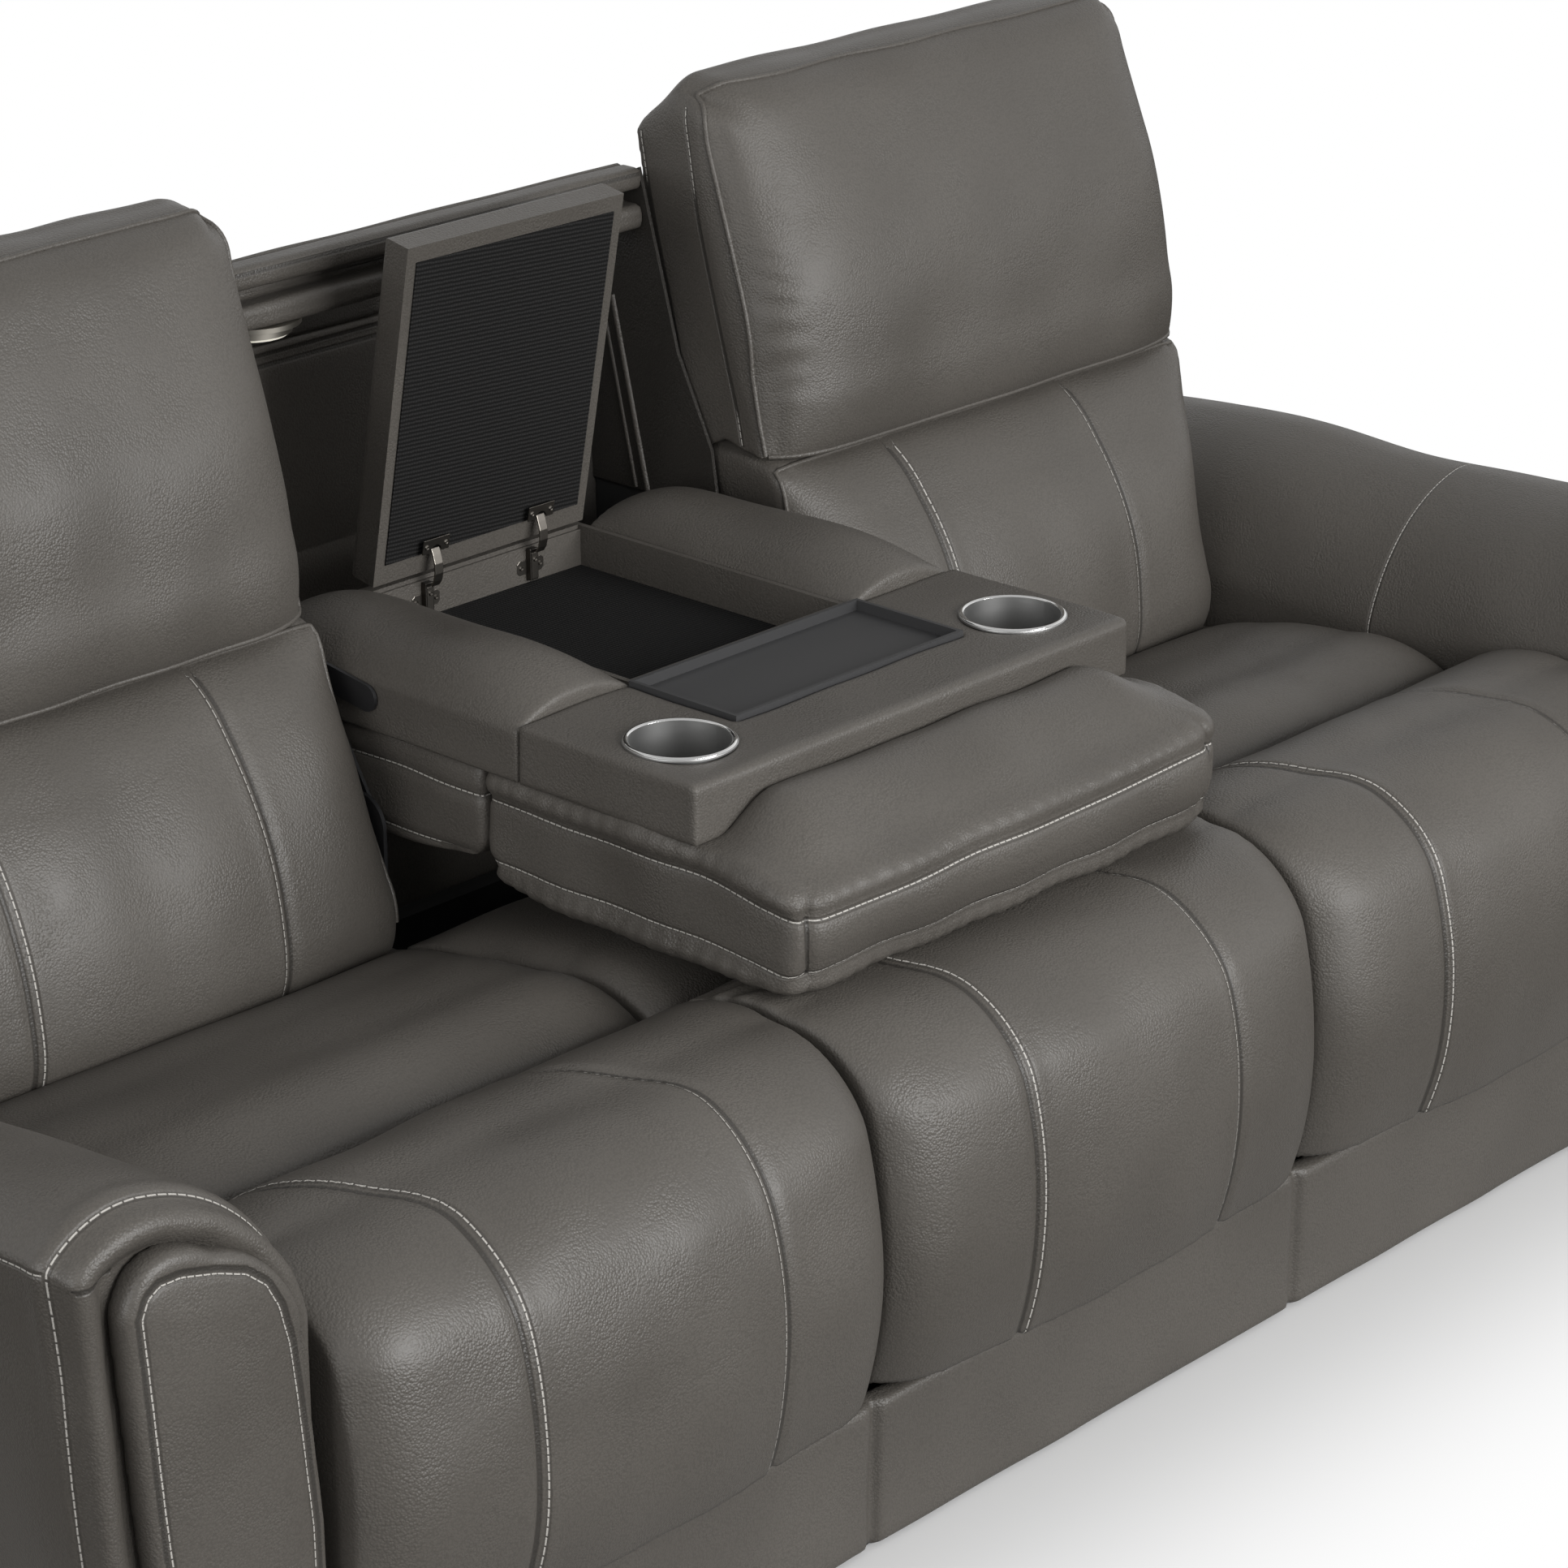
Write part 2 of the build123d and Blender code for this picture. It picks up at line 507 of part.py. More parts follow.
def ear_slots(centre, y_range, z_range):
    return both(centre, HINGE_EAR_X - 6, HINGE_EAR_X + 12, lambda a, b: block((a, b), y_range, z_range))


def recliner(name, side):
    centre = side * SEAT_PITCH
    parts[name + "_seat_frame"] = seat_frame(centre)
    parts[name + "_seat_cushion"] = cushion(centre, SEAT_HALF, seat_profile(SEAT_REAR_Y), SEAT_STATIONS)
    parts[name + "_back_frame"] = back_frame(centre)
    parts[name + "_back_shell"] = back_shell(centre)
    lumbar = cushion(centre, SEAT_HALF, lumbar_profile, LUMBAR_STATIONS)
    for slot in ear_slots(centre, (HEAD_PIVOT[0] - 12, 310), (LUMBAR_TOP_Z - 50, LUMBAR_TOP_Z + 10)):
        lumbar -= slot
    parts[name + "_back_cushion"] = lumbar

    rear_low, rear_high = HEAD_REAR_BOTTOM, HEAD_REAR_TOP
    low_corner = (rear_low[0] + 3, rear_low[1] + 10)
    high_corner = (rear_high[0] - 3, rear_high[1] - 10)
    board_face = outline((low_corner[0] - HEAD_BOARD, low_corner[1]), low_corner, high_corner,
                         (high_corner[0] - HEAD_BOARD, high_corner[1]))
    board = plate(board_face, centre - SEAT_HALF + HEAD_BORDER, centre + SEAT_HALF - HEAD_BORDER)
    arm_face = bar((rear_low[0] - 8, rear_low[1] + 26), HEAD_PIVOT, 9)
    for arm in both(centre, HINGE_EAR_X + 2.5, HINGE_EAR_X + 6.5, lambda a, b: plate(arm_face, a, b)):
        board += arm
    for stub in both(centre, HINGE_EAR_X - 4, HINGE_EAR_X + 2.5, lambda a, b: pin(HEAD_PIVOT, 4, a, b)):
        board += stub
    headrest = cushion(centre + side * HEAD_REACH, SEAT_HALF + HEAD_REACH, headrest_profile, HEAD_STATIONS)
    slot_y = (HEAD_PIVOT[0] - 12, HEAD_REAR_BOTTOM[0])
    for slot in ear_slots(centre, slot_y, (HEAD_PIVOT[1] - 10, HEAD_PIVOT[1] + 40)):
        headrest -= slot
    parts[name + "_headrest_frame"] = board
    parts[name + "_headrest"] = headrest - board

    link_face = bar(LINK_PIVOT, FOOT_PIVOT, LINK_HALF_WIDTH)
    for point in (LINK_PIVOT, FOOT_PIVOT):
        link_face -= hole(point, LINK_PIN_RADIUS + PIN_CLEARANCE)
    parts[name + "_footrest_links"] = group(
        both(centre, LINK_IN, LINK_OUT - 0.5, lambda a, b: plate(link_face, a, b)))

    board_back = ROLL_BACK_Y + BOARD_THICKNESS
    foot_board = block((centre - SEAT_PLATE_IN, centre + SEAT_PLATE_IN), (ROLL_BACK_Y, board_back),
                       (ROLL_BOTTOM_Z + 19, NOSE_UNDER_Z - 50))
    bracket_face = outline((ROLL_BACK_Y, 280), (board_back + 10, 280), (FOOT_PIVOT[0] + 14, FOOT_PIVOT[1] - 14),
                           (FOOT_PIVOT[0] + 14, FOOT_PIVOT[1] + 12), (ROLL_BACK_Y + 50, FOOT_PIVOT[1] + 12),
                           (ROLL_BACK_Y, NOSE_UNDER_Z - 50))
    brackets = both(centre, SEAT_PLATE_IN, SEAT_PLATE_OUT, lambda a, b: plate(bracket_face, a, b))
    foot_pins = both(centre, SEAT_PLATE_OUT, LINK_OUT, lambda a, b: pin(FOOT_PIVOT, LINK_PIN_RADIUS, a, b))
    parts[name + "_footrest_board"] = group(
        [foot_board] + [bracket + stub for bracket, stub in zip(brackets, foot_pins)])
    parts[name + "_footrest_pad"] = cushion(centre, SEAT_HALF, roll_profile(8.0), ROLL_STATIONS)


def middle_seat():
    deck = block((-DIVIDER_IN, DIVIDER_IN), (-230, MIDDLE_SEAT_REAR_Y), (DECK_Z - 32, DECK_Z))
    front = block((-DIVIDER_IN, DIVIDER_IN), (ROLL_BACK_Y, ROLL_BACK_Y + BOARD_THICKNESS),
                  (GLIDE_HEIGHT + 10, NOSE_UNDER_Z - 50))
    parts["middle_seat_deck"] = group([deck, front])
    parts["middle_seat_cushion"] = cushion(0, SEAT_HALF, seat_profile(MIDDLE_SEAT_REAR_Y), SEAT_STATIONS)
    parts["middle_front_roll"] = cushion(0, SEAT_HALF, roll_profile(2.0), ROLL_STATIONS)


HEAD_CUSHION_STATIONS = ((1.0, 0.0), (0.93, 0.5), (0.6, 0.9), (0.0, 1.0))


def head_cushion_profile(k):
    front = -388 - 9 * k
    under = TABLE_BOARD_Z - 97 - 17 * k
    return outline(
        (-10, TABLE_BOARD_Z), (BLOCK_FRONT_Y - 1, TABLE_BOARD_Z),
        ((BLOCK_FRONT_Y - 53, TABLE_BOARD_Z - 2 + 9 * k), (front + 18, TABLE_BOARD_Z - 18)),
        ((front, TABLE_BOARD_Z - 56), (front + 20, TABLE_BOARD_Z - 94 - 4 * k)),
        ((-200, under), (-30, TABLE_BOARD_Z - 92 - 6 * k)),
        ((-12, TABLE_BOARD_Z - 84), (-6, TABLE_BOARD_Z - 60)))


def lumbar_cushion_profile(k):
    under = TABLE_BOARD_Z - 96 - 14 * k
    return outline(
        (250, TABLE_BOARD_Z), (-2, TABLE_BOARD_Z), (-3, TABLE_BOARD_Z - 60),
        ((2, TABLE_BOARD_Z - 82), (20, TABLE_BOARD_Z - 92 - 4 * k)),
        ((130, under), (238, TABLE_BOARD_Z - 92 - 4 * k)),
        ((258, TABLE_BOARD_Z - 78), (263, TABLE_BOARD_Z - 50)))


def pad_section(y, crown):
    inner = WELL_HALF + WELL_WALL + 0.4
    outer = TABLE_HALF - 0.5
    face = outline((outer, TABLE_BOARD_Z), (outer, TABLE_BOARD_TOP + 37),
                   (((inner + outer) / 2, TABLE_BOARD_TOP + crown), (inner, TABLE_BOARD_TOP + 41)),
                   (inner, TABLE_BOARD_Z))
    return Plane.XZ.offset(-y) * face


PAD_STATIONS = ((0.0, 58), (0.08, 70), (0.4, 78), (0.75, 76), (0.95, 66), (1.0, 56))


def table():
    cups = [(side * CUP_X, CUP_Y) for side in (-1, 1)]
    sleeve = CUP_RADIUS + CUP_WALL
    cup_floor = TABLE_TOP_Z - CUP_DEPTH

    def bores(solid, low, high, clearance):
        for x, y in cups:
            solid -= Pos(x, y, (low + high) / 2) * Cylinder(sleeve + clearance, high - low)
        return solid

    board_half = TABLE_HALF - TABLE_EDGE
    board = block((-board_half, board_half), (BLOCK_FRONT_Y + TABLE_EDGE, TABLE_REAR_Y),
                  (TABLE_BOARD_Z, TABLE_BOARD_TOP))
    board += block((-TABLE_HALF, TABLE_HALF), (TAB_FRONT_Y, TABLE_REAR_Y), (TABLE_BOARD_Z, TABLE_BOARD_TOP))
    board = bores(board, TABLE_BOARD_Z - 1, TABLE_BOARD_TOP + 1, RUN_CLEARANCE)
    parts["table_board"] = board
    head = cushion(0, TABLE_CUSHION_HALF, head_cushion_profile, HEAD_CUSHION_STATIONS)
    parts["table_head_cushion"] = bores(head, cup_floor - 4, TABLE_BOARD_Z + 1, 1.5)
    parts["table_lumbar_cushion"] = cushion(0, TABLE_CUSHION_HALF, lumbar_cushion_profile,
                                            HEAD_CUSHION_STATIONS)

    cup_block = block((-TABLE_HALF, TABLE_HALF), (BLOCK_FRONT_Y, BLOCK_REAR_Y), (TABLE_BOARD_Z, TABLE_TOP_Z))
    cup_block = fillet(cup_block.edges().group_by(Axis.Y)[0].group_by(Axis.Z)[-1], 8)
    cup_block = bores(cup_block, TABLE_BOARD_Z - 1, TABLE_TOP_Z + 1, RUN_CLEARANCE) - board
    cup_block -= block((-TRAY_HALF - RUN_CLEARANCE, TRAY_HALF + RUN_CLEARANCE),
                       (TRAY_FRONT_Y - RUN_CLEARANCE, BLOCK_REAR_Y + 1), (TRAY_Z, TABLE_TOP_Z + 1))
    parts["cup_block"] = cup_block

    holders = []
    for x, y in cups:
        shell = Pos(x, y, (cup_floor + TABLE_TOP_Z) / 2) * Cylinder(sleeve, CUP_DEPTH)
        rim = Pos(x, y, TABLE_TOP_Z + 1.25) * Cylinder(CUP_RIM_RADIUS, 2.5)
        inside = Pos(x, y, cup_floor + 1.5 + CUP_DEPTH / 2 + 2) * Cylinder(CUP_RADIUS, CUP_DEPTH + 4)
        holders.append(shell + fillet(rim.edges().group_by(Axis.Z)[-1], 1.2) - inside)
    parts["cup_holders"] = group(holders)

    tray_rear = BLOCK_REAR_Y
    tray = block((-TRAY_HALF, TRAY_HALF), (TRAY_FRONT_Y, tray_rear), (TRAY_Z, TABLE_TOP_Z + TRAY_RIM))
    tray -= block((-TRAY_HALF + TRAY_WALL, TRAY_HALF - TRAY_WALL),
                  (TRAY_FRONT_Y + TRAY_WALL, tray_rear - TRAY_WALL),
                  (TRAY_Z + TRAY_WALL, TABLE_TOP_Z + TRAY_RIM + 1))
    parts["tray"] = tray

    walls = block((-WELL_HALF - WELL_WALL, WELL_HALF + WELL_WALL), (BLOCK_REAR_Y, TABLE_REAR_Y),
                  (TABLE_BOARD_TOP, TABLE_TOP_Z - 1))
    walls -= block((-WELL_HALF, WELL_HALF), (WELL_FRONT_Y, WELL_REAR_Y), (TABLE_BOARD_TOP - 1, TABLE_TOP_Z))
    walls -= block((-WELL_HALF, WELL_HALF), (WELL_REAR_Y - 1, WELL_REAR_Y + 3), (TABLE_TOP_Z - 5, TABLE_TOP_Z))
    parts["storage_box"] = walls
    parts["well_mat"] = block((-WELL_HALF + 0.5, WELL_HALF - 0.5), (WELL_FRONT_Y + 0.5, WELL_REAR_Y - 0.5),
                              (TABLE_BOARD_TOP, TABLE_BOARD_TOP + 2))
    pad_length = WELL_REAR_Y - BLOCK_REAR_Y - 1
    pad = loft([pad_section(BLOCK_REAR_Y + 1 + share * pad_length, crown) for share, crown in PAD_STATIONS])
    pad -= board
    parts["armrest_pads"] = group([pad, mirror(pad, about=Plane.YZ)])

    tip = (141, TABLE_BOARD_TOP + 21)
    elbow = (225, TABLE_BOARD_TOP + 33)
    arm_face = bar(tip, elbow, 13) + bar(elbow, TABLE_PIVOT, 16)
    arm_face -= hole(TABLE_PIVOT, TABLE_PIN_RADIUS + PIN_CLEARANCE)
    parts["pivot_arms"] = group(both(0, TABLE_HALF, TABLE_HALF + 3.5, lambda a, b: plate(arm_face, a, b)))


def lid():
    rear = LID_PIVOT[0] - 4.5
    front = rear - LID_LENGTH
    under = LID_PIVOT[1]
    panel = block((-WELL_HALF, WELL_HALF), (front, rear), (under, under + LID_THICKNESS))
    panel = fillet(panel.edges().group_by(Axis.Z)[-1], 9)
    liner = block((-WELL_HALF + LINER_MARGIN, WELL_HALF - LINER_MARGIN),
                  (front + LINER_MARGIN, rear - LINER_MARGIN), (under - LINER, under))
    opened = Pos(0, *LID_PIVOT) * Rot(-LID_OPEN_ANGLE, 0, 0) * Pos(0, -LID_PIVOT[0], -LID_PIVOT[1])
    bases = []
    leaves = []
    for x in (-HINGE_X, HINGE_X):
        base_plate = block((x - 10, x + 10), (WELL_REAR_Y - 3, WELL_REAR_Y), (TABLE_BOARD_TOP + 4, under - 8))
        neck = block((x - 5, x + 5), (LID_PIVOT[0] - 3, WELL_REAR_Y), (under - 14, under))
        bases.append(base_plate + neck + pin(LID_PIVOT, 4, x - 5, x + 5))
        leaf = block((x - 10, x + 10), (rear - LINER_MARGIN + 0.5, rear - 1), (under - 2, under))
        for low, high in ((x - 9.4, x - 5.4), (x + 5.4, x + 9.4)):
            leaf += pin(LID_PIVOT, 4, low, high)
            leaf += block((low, high), (rear - 4, LID_PIVOT[0]), (under - 2, under))
        leaves.append(opened * leaf)
    parts["hinge_bases"] = group(bases)
    parts["hinge_leaves"] = group(leaves)
    parts["lid_panel"] = opened * panel
    parts["lid_liner"] = opened * liner


def recess():
    def front(z):
        return STILE_FOOT_Y + STILE_SLOPE * (z - REAR_RAIL_TOP)

    def leaning(low, high, near, far):
        return outline((front(low) + near, low), (front(low) + far, low), (front(high) + far, high),
                       (front(high) + near, high))
    stile_face = leaning(REAR_RAIL_TOP, STILE_TOP_Z, 0, STILE_DEPTH)
    post_front = (front(CHEEK_BOTTOM_Z), front(STILE_TOP_Z))
    cheek_face = outline((280, CHEEK_BOTTOM_Z), (278, 703), (318, 795), (350, 907), (370, HEADER_TOP_Z),
                         (post_front[1], HEADER_TOP_Z), (post_front[1], STILE_TOP_Z),
                         (post_front[0], CHEEK_BOTTOM_Z))
    inner = DIVIDER_IN - CHEEK
    posts = both(0, DIVIDER_IN - STILE_WIDTH, DIVIDER_IN, lambda a, b: plate(stile_face, a, b))
    parts["bay_stiles"] = group(posts + both(0, inner, DIVIDER_IN, lambda a, b: plate(cheek_face, a, b)))
    panel_face = leaning(PANEL_BOTTOM_Z, STILE_TOP_Z, STILE_DEPTH, STILE_DEPTH + PANEL_THICKNESS)
    parts["rear_panel"] = plate(panel_face, -DIVIDER_IN, DIVIDER_IN)

    width = (-inner, inner)
    back_y = BAR_FRONT_Y + BAR_DEPTH
    roll = block(width, (BAR_FRONT_Y, back_y), (BAR_BOTTOM_Z, BAR_BOTTOM_Z + BAR_HEIGHT))
    roll = fillet(roll.edges().group_by(Axis.Y)[0].filter_by(Axis.X), BAR_HEIGHT * 0.3)
    shelf = block(width, (back_y - 1, BAR_FRONT_Y + SHELF_DEPTH), (BAR_BOTTOM_Z, BAR_BOTTOM_Z + SHELF))
    header_plate = block(width, (back_y, back_y + SHELF), (BAR_BOTTOM_Z, HEADER_TOP_Z))
    parts["header_bar"] = roll + shelf + header_plate
    rail = block(width, (BAR_FRONT_Y, back_y), (BAR_BOTTOM_Z + TOP_RAIL_RISE, HEADER_TOP_Z))
    rail = fillet(rail.edges().group_by(Axis.Y)[0].filter_by(Axis.X), TOP_RAIL_HEIGHT * 0.3)
    cap_y = post_front[1] + STILE_DEPTH
    cap = block((-DIVIDER_IN, DIVIDER_IN), (cap_y, cap_y + REAR_CAP_DEPTH),
                (STILE_TOP_Z, STILE_TOP_Z + REAR_CAP_HEIGHT))
    cap = fillet(cap.edges().group_by(Axis.Z)[-1].filter_by(Axis.X), REAR_CAP_HEIGHT * 0.3)
    parts["rear_top_rail"] = group([rail, cap])

    light_y = BAR_FRONT_Y + LIGHT_RADIUS + 1
    pucks = []
    lenses = []
    for x in (-LIGHT_X, LIGHT_X):
        flange = Pos(x, light_y, BAR_BOTTOM_Z - LIGHT_FLANGE / 2) * Cylinder(LIGHT_RADIUS, LIGHT_FLANGE)
        body_z = BAR_BOTTOM_Z - LIGHT_FLANGE - LIGHT_BODY
        body = Pos(x, light_y, body_z + LIGHT_BODY / 2) * Cylinder(LIGHT_RADIUS - 8, LIGHT_BODY)
        pucks.append(flange + body)
        lenses.append(Pos(x, light_y, body_z - LENS / 2) * Cylinder(LIGHT_RADIUS - 12, LENS))
    parts["light_housings"] = group(pucks)
    parts["light_lenses"] = group(lenses)
    inlet_y = REAR_RAIL_Y + RAIL_THICKNESS
    inlet = block((SEAT_PITCH - 25, SEAT_PITCH + 25), (inlet_y, inlet_y + 14), (60, 92))
    inlet -= block((SEAT_PITCH - 14, SEAT_PITCH + 14), (inlet_y + 4, inlet_y + 15), (66, 86))
    parts["power_inlet"] = inlet


base()
arms()
for side_name, side_sign in SIDES:
    recliner(side_name, side_sign)
middle_seat()
table()
lid()
recess()

os.makedirs("parts", exist_ok=True)
for node, shape in parts.items():
    export_step(shape, "parts/" + node + ".step")
print(len(parts), "nodes")
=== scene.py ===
import math
import bmesh
import bpy
import numpy as np
from mathutils import Matrix, Vector
from mathutils.bvhtree import BVHTree


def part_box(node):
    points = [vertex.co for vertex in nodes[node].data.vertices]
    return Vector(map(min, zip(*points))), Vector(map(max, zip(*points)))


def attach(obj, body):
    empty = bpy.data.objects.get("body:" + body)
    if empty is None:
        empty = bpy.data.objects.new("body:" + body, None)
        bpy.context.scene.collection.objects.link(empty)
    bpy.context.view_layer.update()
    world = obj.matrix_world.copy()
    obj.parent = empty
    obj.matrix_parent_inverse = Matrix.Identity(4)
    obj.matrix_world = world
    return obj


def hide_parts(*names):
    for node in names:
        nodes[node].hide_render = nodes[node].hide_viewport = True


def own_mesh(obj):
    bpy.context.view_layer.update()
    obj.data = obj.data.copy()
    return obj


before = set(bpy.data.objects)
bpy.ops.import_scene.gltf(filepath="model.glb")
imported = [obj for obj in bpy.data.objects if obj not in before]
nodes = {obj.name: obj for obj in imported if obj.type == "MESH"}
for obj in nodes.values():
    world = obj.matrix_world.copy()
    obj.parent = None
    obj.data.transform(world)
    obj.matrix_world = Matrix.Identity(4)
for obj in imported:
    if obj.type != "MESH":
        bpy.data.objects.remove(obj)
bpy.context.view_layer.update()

# Lengths are metres in the CAD frame: X to the viewer's right, -Y to the front, Z up.
scene = bpy.context.scene
SIDES = (("left", -1), ("right", 1))
SEAT_X = {"left": -0.603, "middle": 0.0, "right": 0.603}
HALF = 0.2975
PIPING = 0.0026
HANG = 0.016


# Shader helpers

class Graph:
    """Small wrapper that adds shader nodes and links them by socket name."""

    def __init__(self, name):
        self.material = bpy.data.materials.new(name)
        self.material.use_nodes = True
        self.tree = self.material.node_tree
        self.surface = self.tree.nodes["Principled BSDF"]

    def add(self, kind, inputs=None, **settings):
        node = self.tree.nodes.new(kind)
        for key, value in settings.items():
            setattr(node, key, value)
        for key, value in (inputs or {}).items():
            self.put(node.inputs[key], value)
        return node

    def put(self, socket, value):
        if isinstance(value, bpy.types.NodeSocket):
            self.tree.links.new(value, socket)
        else:
            socket.default_value = value

    def set(self, **values):
        for key, value in values.items():
            self.put(self.surface.inputs[key.replace("_", " ")], value)

    def math(self, operation, a, b=0.0, c=0.0):
        node = self.add("ShaderNodeMath", operation=operation)
        for socket, value in zip(node.inputs, (a, b, c)):
            self.put(socket, value)
        return node.outputs[0]

    def step(self, value, low, high, start=0.0, end=1.0):
        """Smooth step from start, at low, to end, at high."""
        limits = {"From Min": low, "From Max": high, "To Min": start, "To Max": end}
        node = self.add("ShaderNodeMapRange", {"Value": value, **limits}, interpolation_type="SMOOTHSTEP")
        return node.outputs[0]

    def fall(self, value, low, high):
        return self.step(value, low, high, 1.0, 0.0)

    def mix(self, share, a, b):
        node = self.add("ShaderNodeMix", data_type="RGBA")
        for index, value in ((0, share), (6, a), (7, b)):
            self.put(node.inputs[index], value)
        return node.outputs[2]

    def place(self):
        return self.add("ShaderNodeTexCoord").outputs["Object"]

    def split(self, vector):
        return self.add("ShaderNodeSeparateXYZ", {0: vector}).outputs

    def attribute(self, name):
        """The X, Y and Z of a vector that the mesh carries at each point."""
        return self.split(self.add("ShaderNodeAttribute", attribute_name=name).outputs["Vector"])

    def noise(self, scale, detail):
        inputs = {"Vector": self.place(), "Scale": scale, "Detail": detail}
        return self.add("ShaderNodeTexNoise", inputs).outputs["Fac"]

    def off_middle(self, value, pitch):
        """How far a value is from the middle of its repeat: 0 to 0.5 repeats."""
        part = self.math("FRACT", self.math("DIVIDE", value, pitch))
        return self.math("ABSOLUTE", self.math("SUBTRACT", part, 0.5))

    def bump(self, height, strength):
        inputs = {"Height": height, "Strength": strength, "Distance": 1.0}
        return self.add("ShaderNodeBump", inputs).outputs["Normal"]


LEATHER = (0.0735, 0.0668, 0.0585, 1)
LEATHER_ROUGH = (0.43, 0.51)
GRAIN_HEIGHT = 0.0008
THREAD = (0.36, 0.345, 0.32, 1)
THREAD_RISE = 0.0010
STITCH_LENGTH = 0.0075
STITCH_HALF_WIDTH = 0.00064
SEAM_DIP = 0.0012
SEAM_DIP_AND_SHADE_REACH = (0.0010, 0.0034)
CLOTH_DARK = (0.0049, 0.0048, 0.0048, 1)
CLOTH_LIGHT = (0.0190, 0.0187, 0.0185, 1)
RIB_PITCH = 0.0043
RIB_SLANT = 0.06
RIB_WOBBLE = 0.0016
RIB_HEIGHT = 0.0011
TOOTH_PITCH = 0.0033


def toned(color, share):
    return [c * share for c in color[:3]] + [1]


def stitch(g, color, tone, height):
    """Draws three lines from the mesh's seam attributes, with a bump dip and painted shade along each; where
    thread is 0 a line is a bare crease of painted shade.
    """
    far = g.attribute("seam")
    run = g.attribute("run")
    thread = g.attribute("thread")
    for axis in "XYZ":
        beside = g.math("ABSOLUTE", far[axis])
        dash = g.fall(g.off_middle(run[axis], STITCH_LENGTH), 0.38, 0.46)
        line = g.fall(beside, STITCH_HALF_WIDTH * 0.6, STITCH_HALF_WIDTH * 1.5)
        shown = g.math("MULTIPLY", g.math("MULTIPLY", line, dash), thread[axis])
        dip = g.fall(beside, *SEAM_DIP_AND_SHADE_REACH)
        # Painted shade: the seam's dip is darkened towards 0.3 of the colour, more in a bare crease than
        # beside a thread.
        shadow = g.math("MULTIPLY", dip, g.math("MULTIPLY_ADD", thread[axis], -0.45, 0.75))
        tone = g.mix(shadow, tone, toned(color, 0.3))
        tone = g.mix(shown, tone, THREAD)
        height = g.math("SUBTRACT", height, g.math("MULTIPLY", dip, SEAM_DIP))
        height = g.math("ADD", height, g.math("MULTIPLY", shown, THREAD_RISE))
    return tone, height


def leather(name, tint=1.0, stitched=False):
    """Pebbled leather with slow changes of tone, of shine and of the pebbles' height."""
    g = Graph(name)
    color = toned(LEATHER, tint)
    cloud = g.noise(6.0, 1.0)
    patches = g.noise(22.0, 1.0)
    fine = g.noise(900.0, 0.0)
    pebble = g.add("ShaderNodeTexVoronoi", {"Vector": g.place(), "Scale": 430.0}).outputs["Distance"]
    tone = g.mix(g.step(cloud, 0.3, 0.7), toned(color, 0.88), color)
    tone = g.mix(g.math("MULTIPLY", g.step(pebble, 0.35, 0.75), 0.35), tone, toned(color, 0.6))
    height = g.math("MULTIPLY", pebble, g.step(patches, 0.3, 0.75, -0.35, -1.0))
    height = g.math("ADD", height, g.math("MULTIPLY", fine, 0.25))
    height = g.math("MULTIPLY", height, GRAIN_HEIGHT)
    if stitched:
        tone, height = stitch(g, color, tone, height)
    g.set(Base_Color=tone, Roughness=g.step(cloud, 0.3, 0.7, *LEATHER_ROUGH), Normal=g.bump(height, 0.7))
    g.set(Specular_IOR_Level=0.4)
    return g.material


def plain(name, color, rough, metallic=0.0, bump=0.0, scale=800.0):
    """One colour; bump is the height of a fine relief."""
    g = Graph(name)
    g.set(Base_Color=list(color) + [1], Roughness=rough, Metallic=metallic)
    if bump:
        g.set(Normal=g.bump(g.math("MULTIPLY", g.noise(scale, 2.0), bump), 0.6))
    return g.material


def ribbed_cloth(name, along, across):
    """Black cloth with fine slanted ribs; along and across are axis letters in the piece's own frame."""
    g = Graph(name)
    place = g.split(g.place())
    slant = g.math("MULTIPLY_ADD", place[along], RIB_SLANT, place[across])
    slant = g.math("MULTIPLY_ADD", g.noise(160.0, 2.0), RIB_WOBBLE, slant)
    rib = g.math("SUBTRACT", 1.0, g.math("MULTIPLY", g.off_middle(slant, RIB_PITCH), 2.0))
    tooth = g.step(g.off_middle(place[along], TOOTH_PITCH), 0.1, 0.45, 1.0, 0.55)
    rise = g.math("MULTIPLY", g.step(rib, 0.1, 0.85), tooth)
    normal = g.bump(g.math("MULTIPLY", rise, RIB_HEIGHT), 0.8)
    g.set(Base_Color=g.mix(rise, CLOTH_DARK, CLOTH_LIGHT), Roughness=0.95, Normal=normal)
    g.set(Specular_IOR_Level=0.15)
    return g.material


# Painted light and shade: leather_shaded is the leather darkened to 0.4 as painted shade, and the panel copy
# is lightened 1.8 times as painted light; the sewn copies paint shade into their seams' creases.
LEATHER_PLAIN = leather("leather_plain")
LEATHER_SEWN = leather("leather_sewn", stitched=True)
LEATHER_SHADED = leather("leather_shaded", tint=0.4)
LEATHER_PANEL_PAINTED_LIGHT = leather("leather_panel_painted_light", tint=1.8, stitched=True)
BLACK_STEEL = plain("black_steel", (0.012, 0.012, 0.013), 0.42, bump=0.0001)
ZINC = plain("zinc", (0.42, 0.42, 0.44), 0.35, metallic=1.0)
NICKEL = plain("nickel", (0.62, 0.6, 0.56), 0.22, metallic=1.0)
SATIN_NICKEL = plain("satin_nickel", (0.34, 0.32, 0.28), 0.42, metallic=1.0)
CUP_STEEL = plain("cup_steel", (0.40, 0.40, 0.395), 0.40, metallic=1.0, bump=0.00003, scale=2500.0)
POLISHED = plain("polished_steel", (0.78, 0.78, 0.77), 0.12, metallic=1.0)
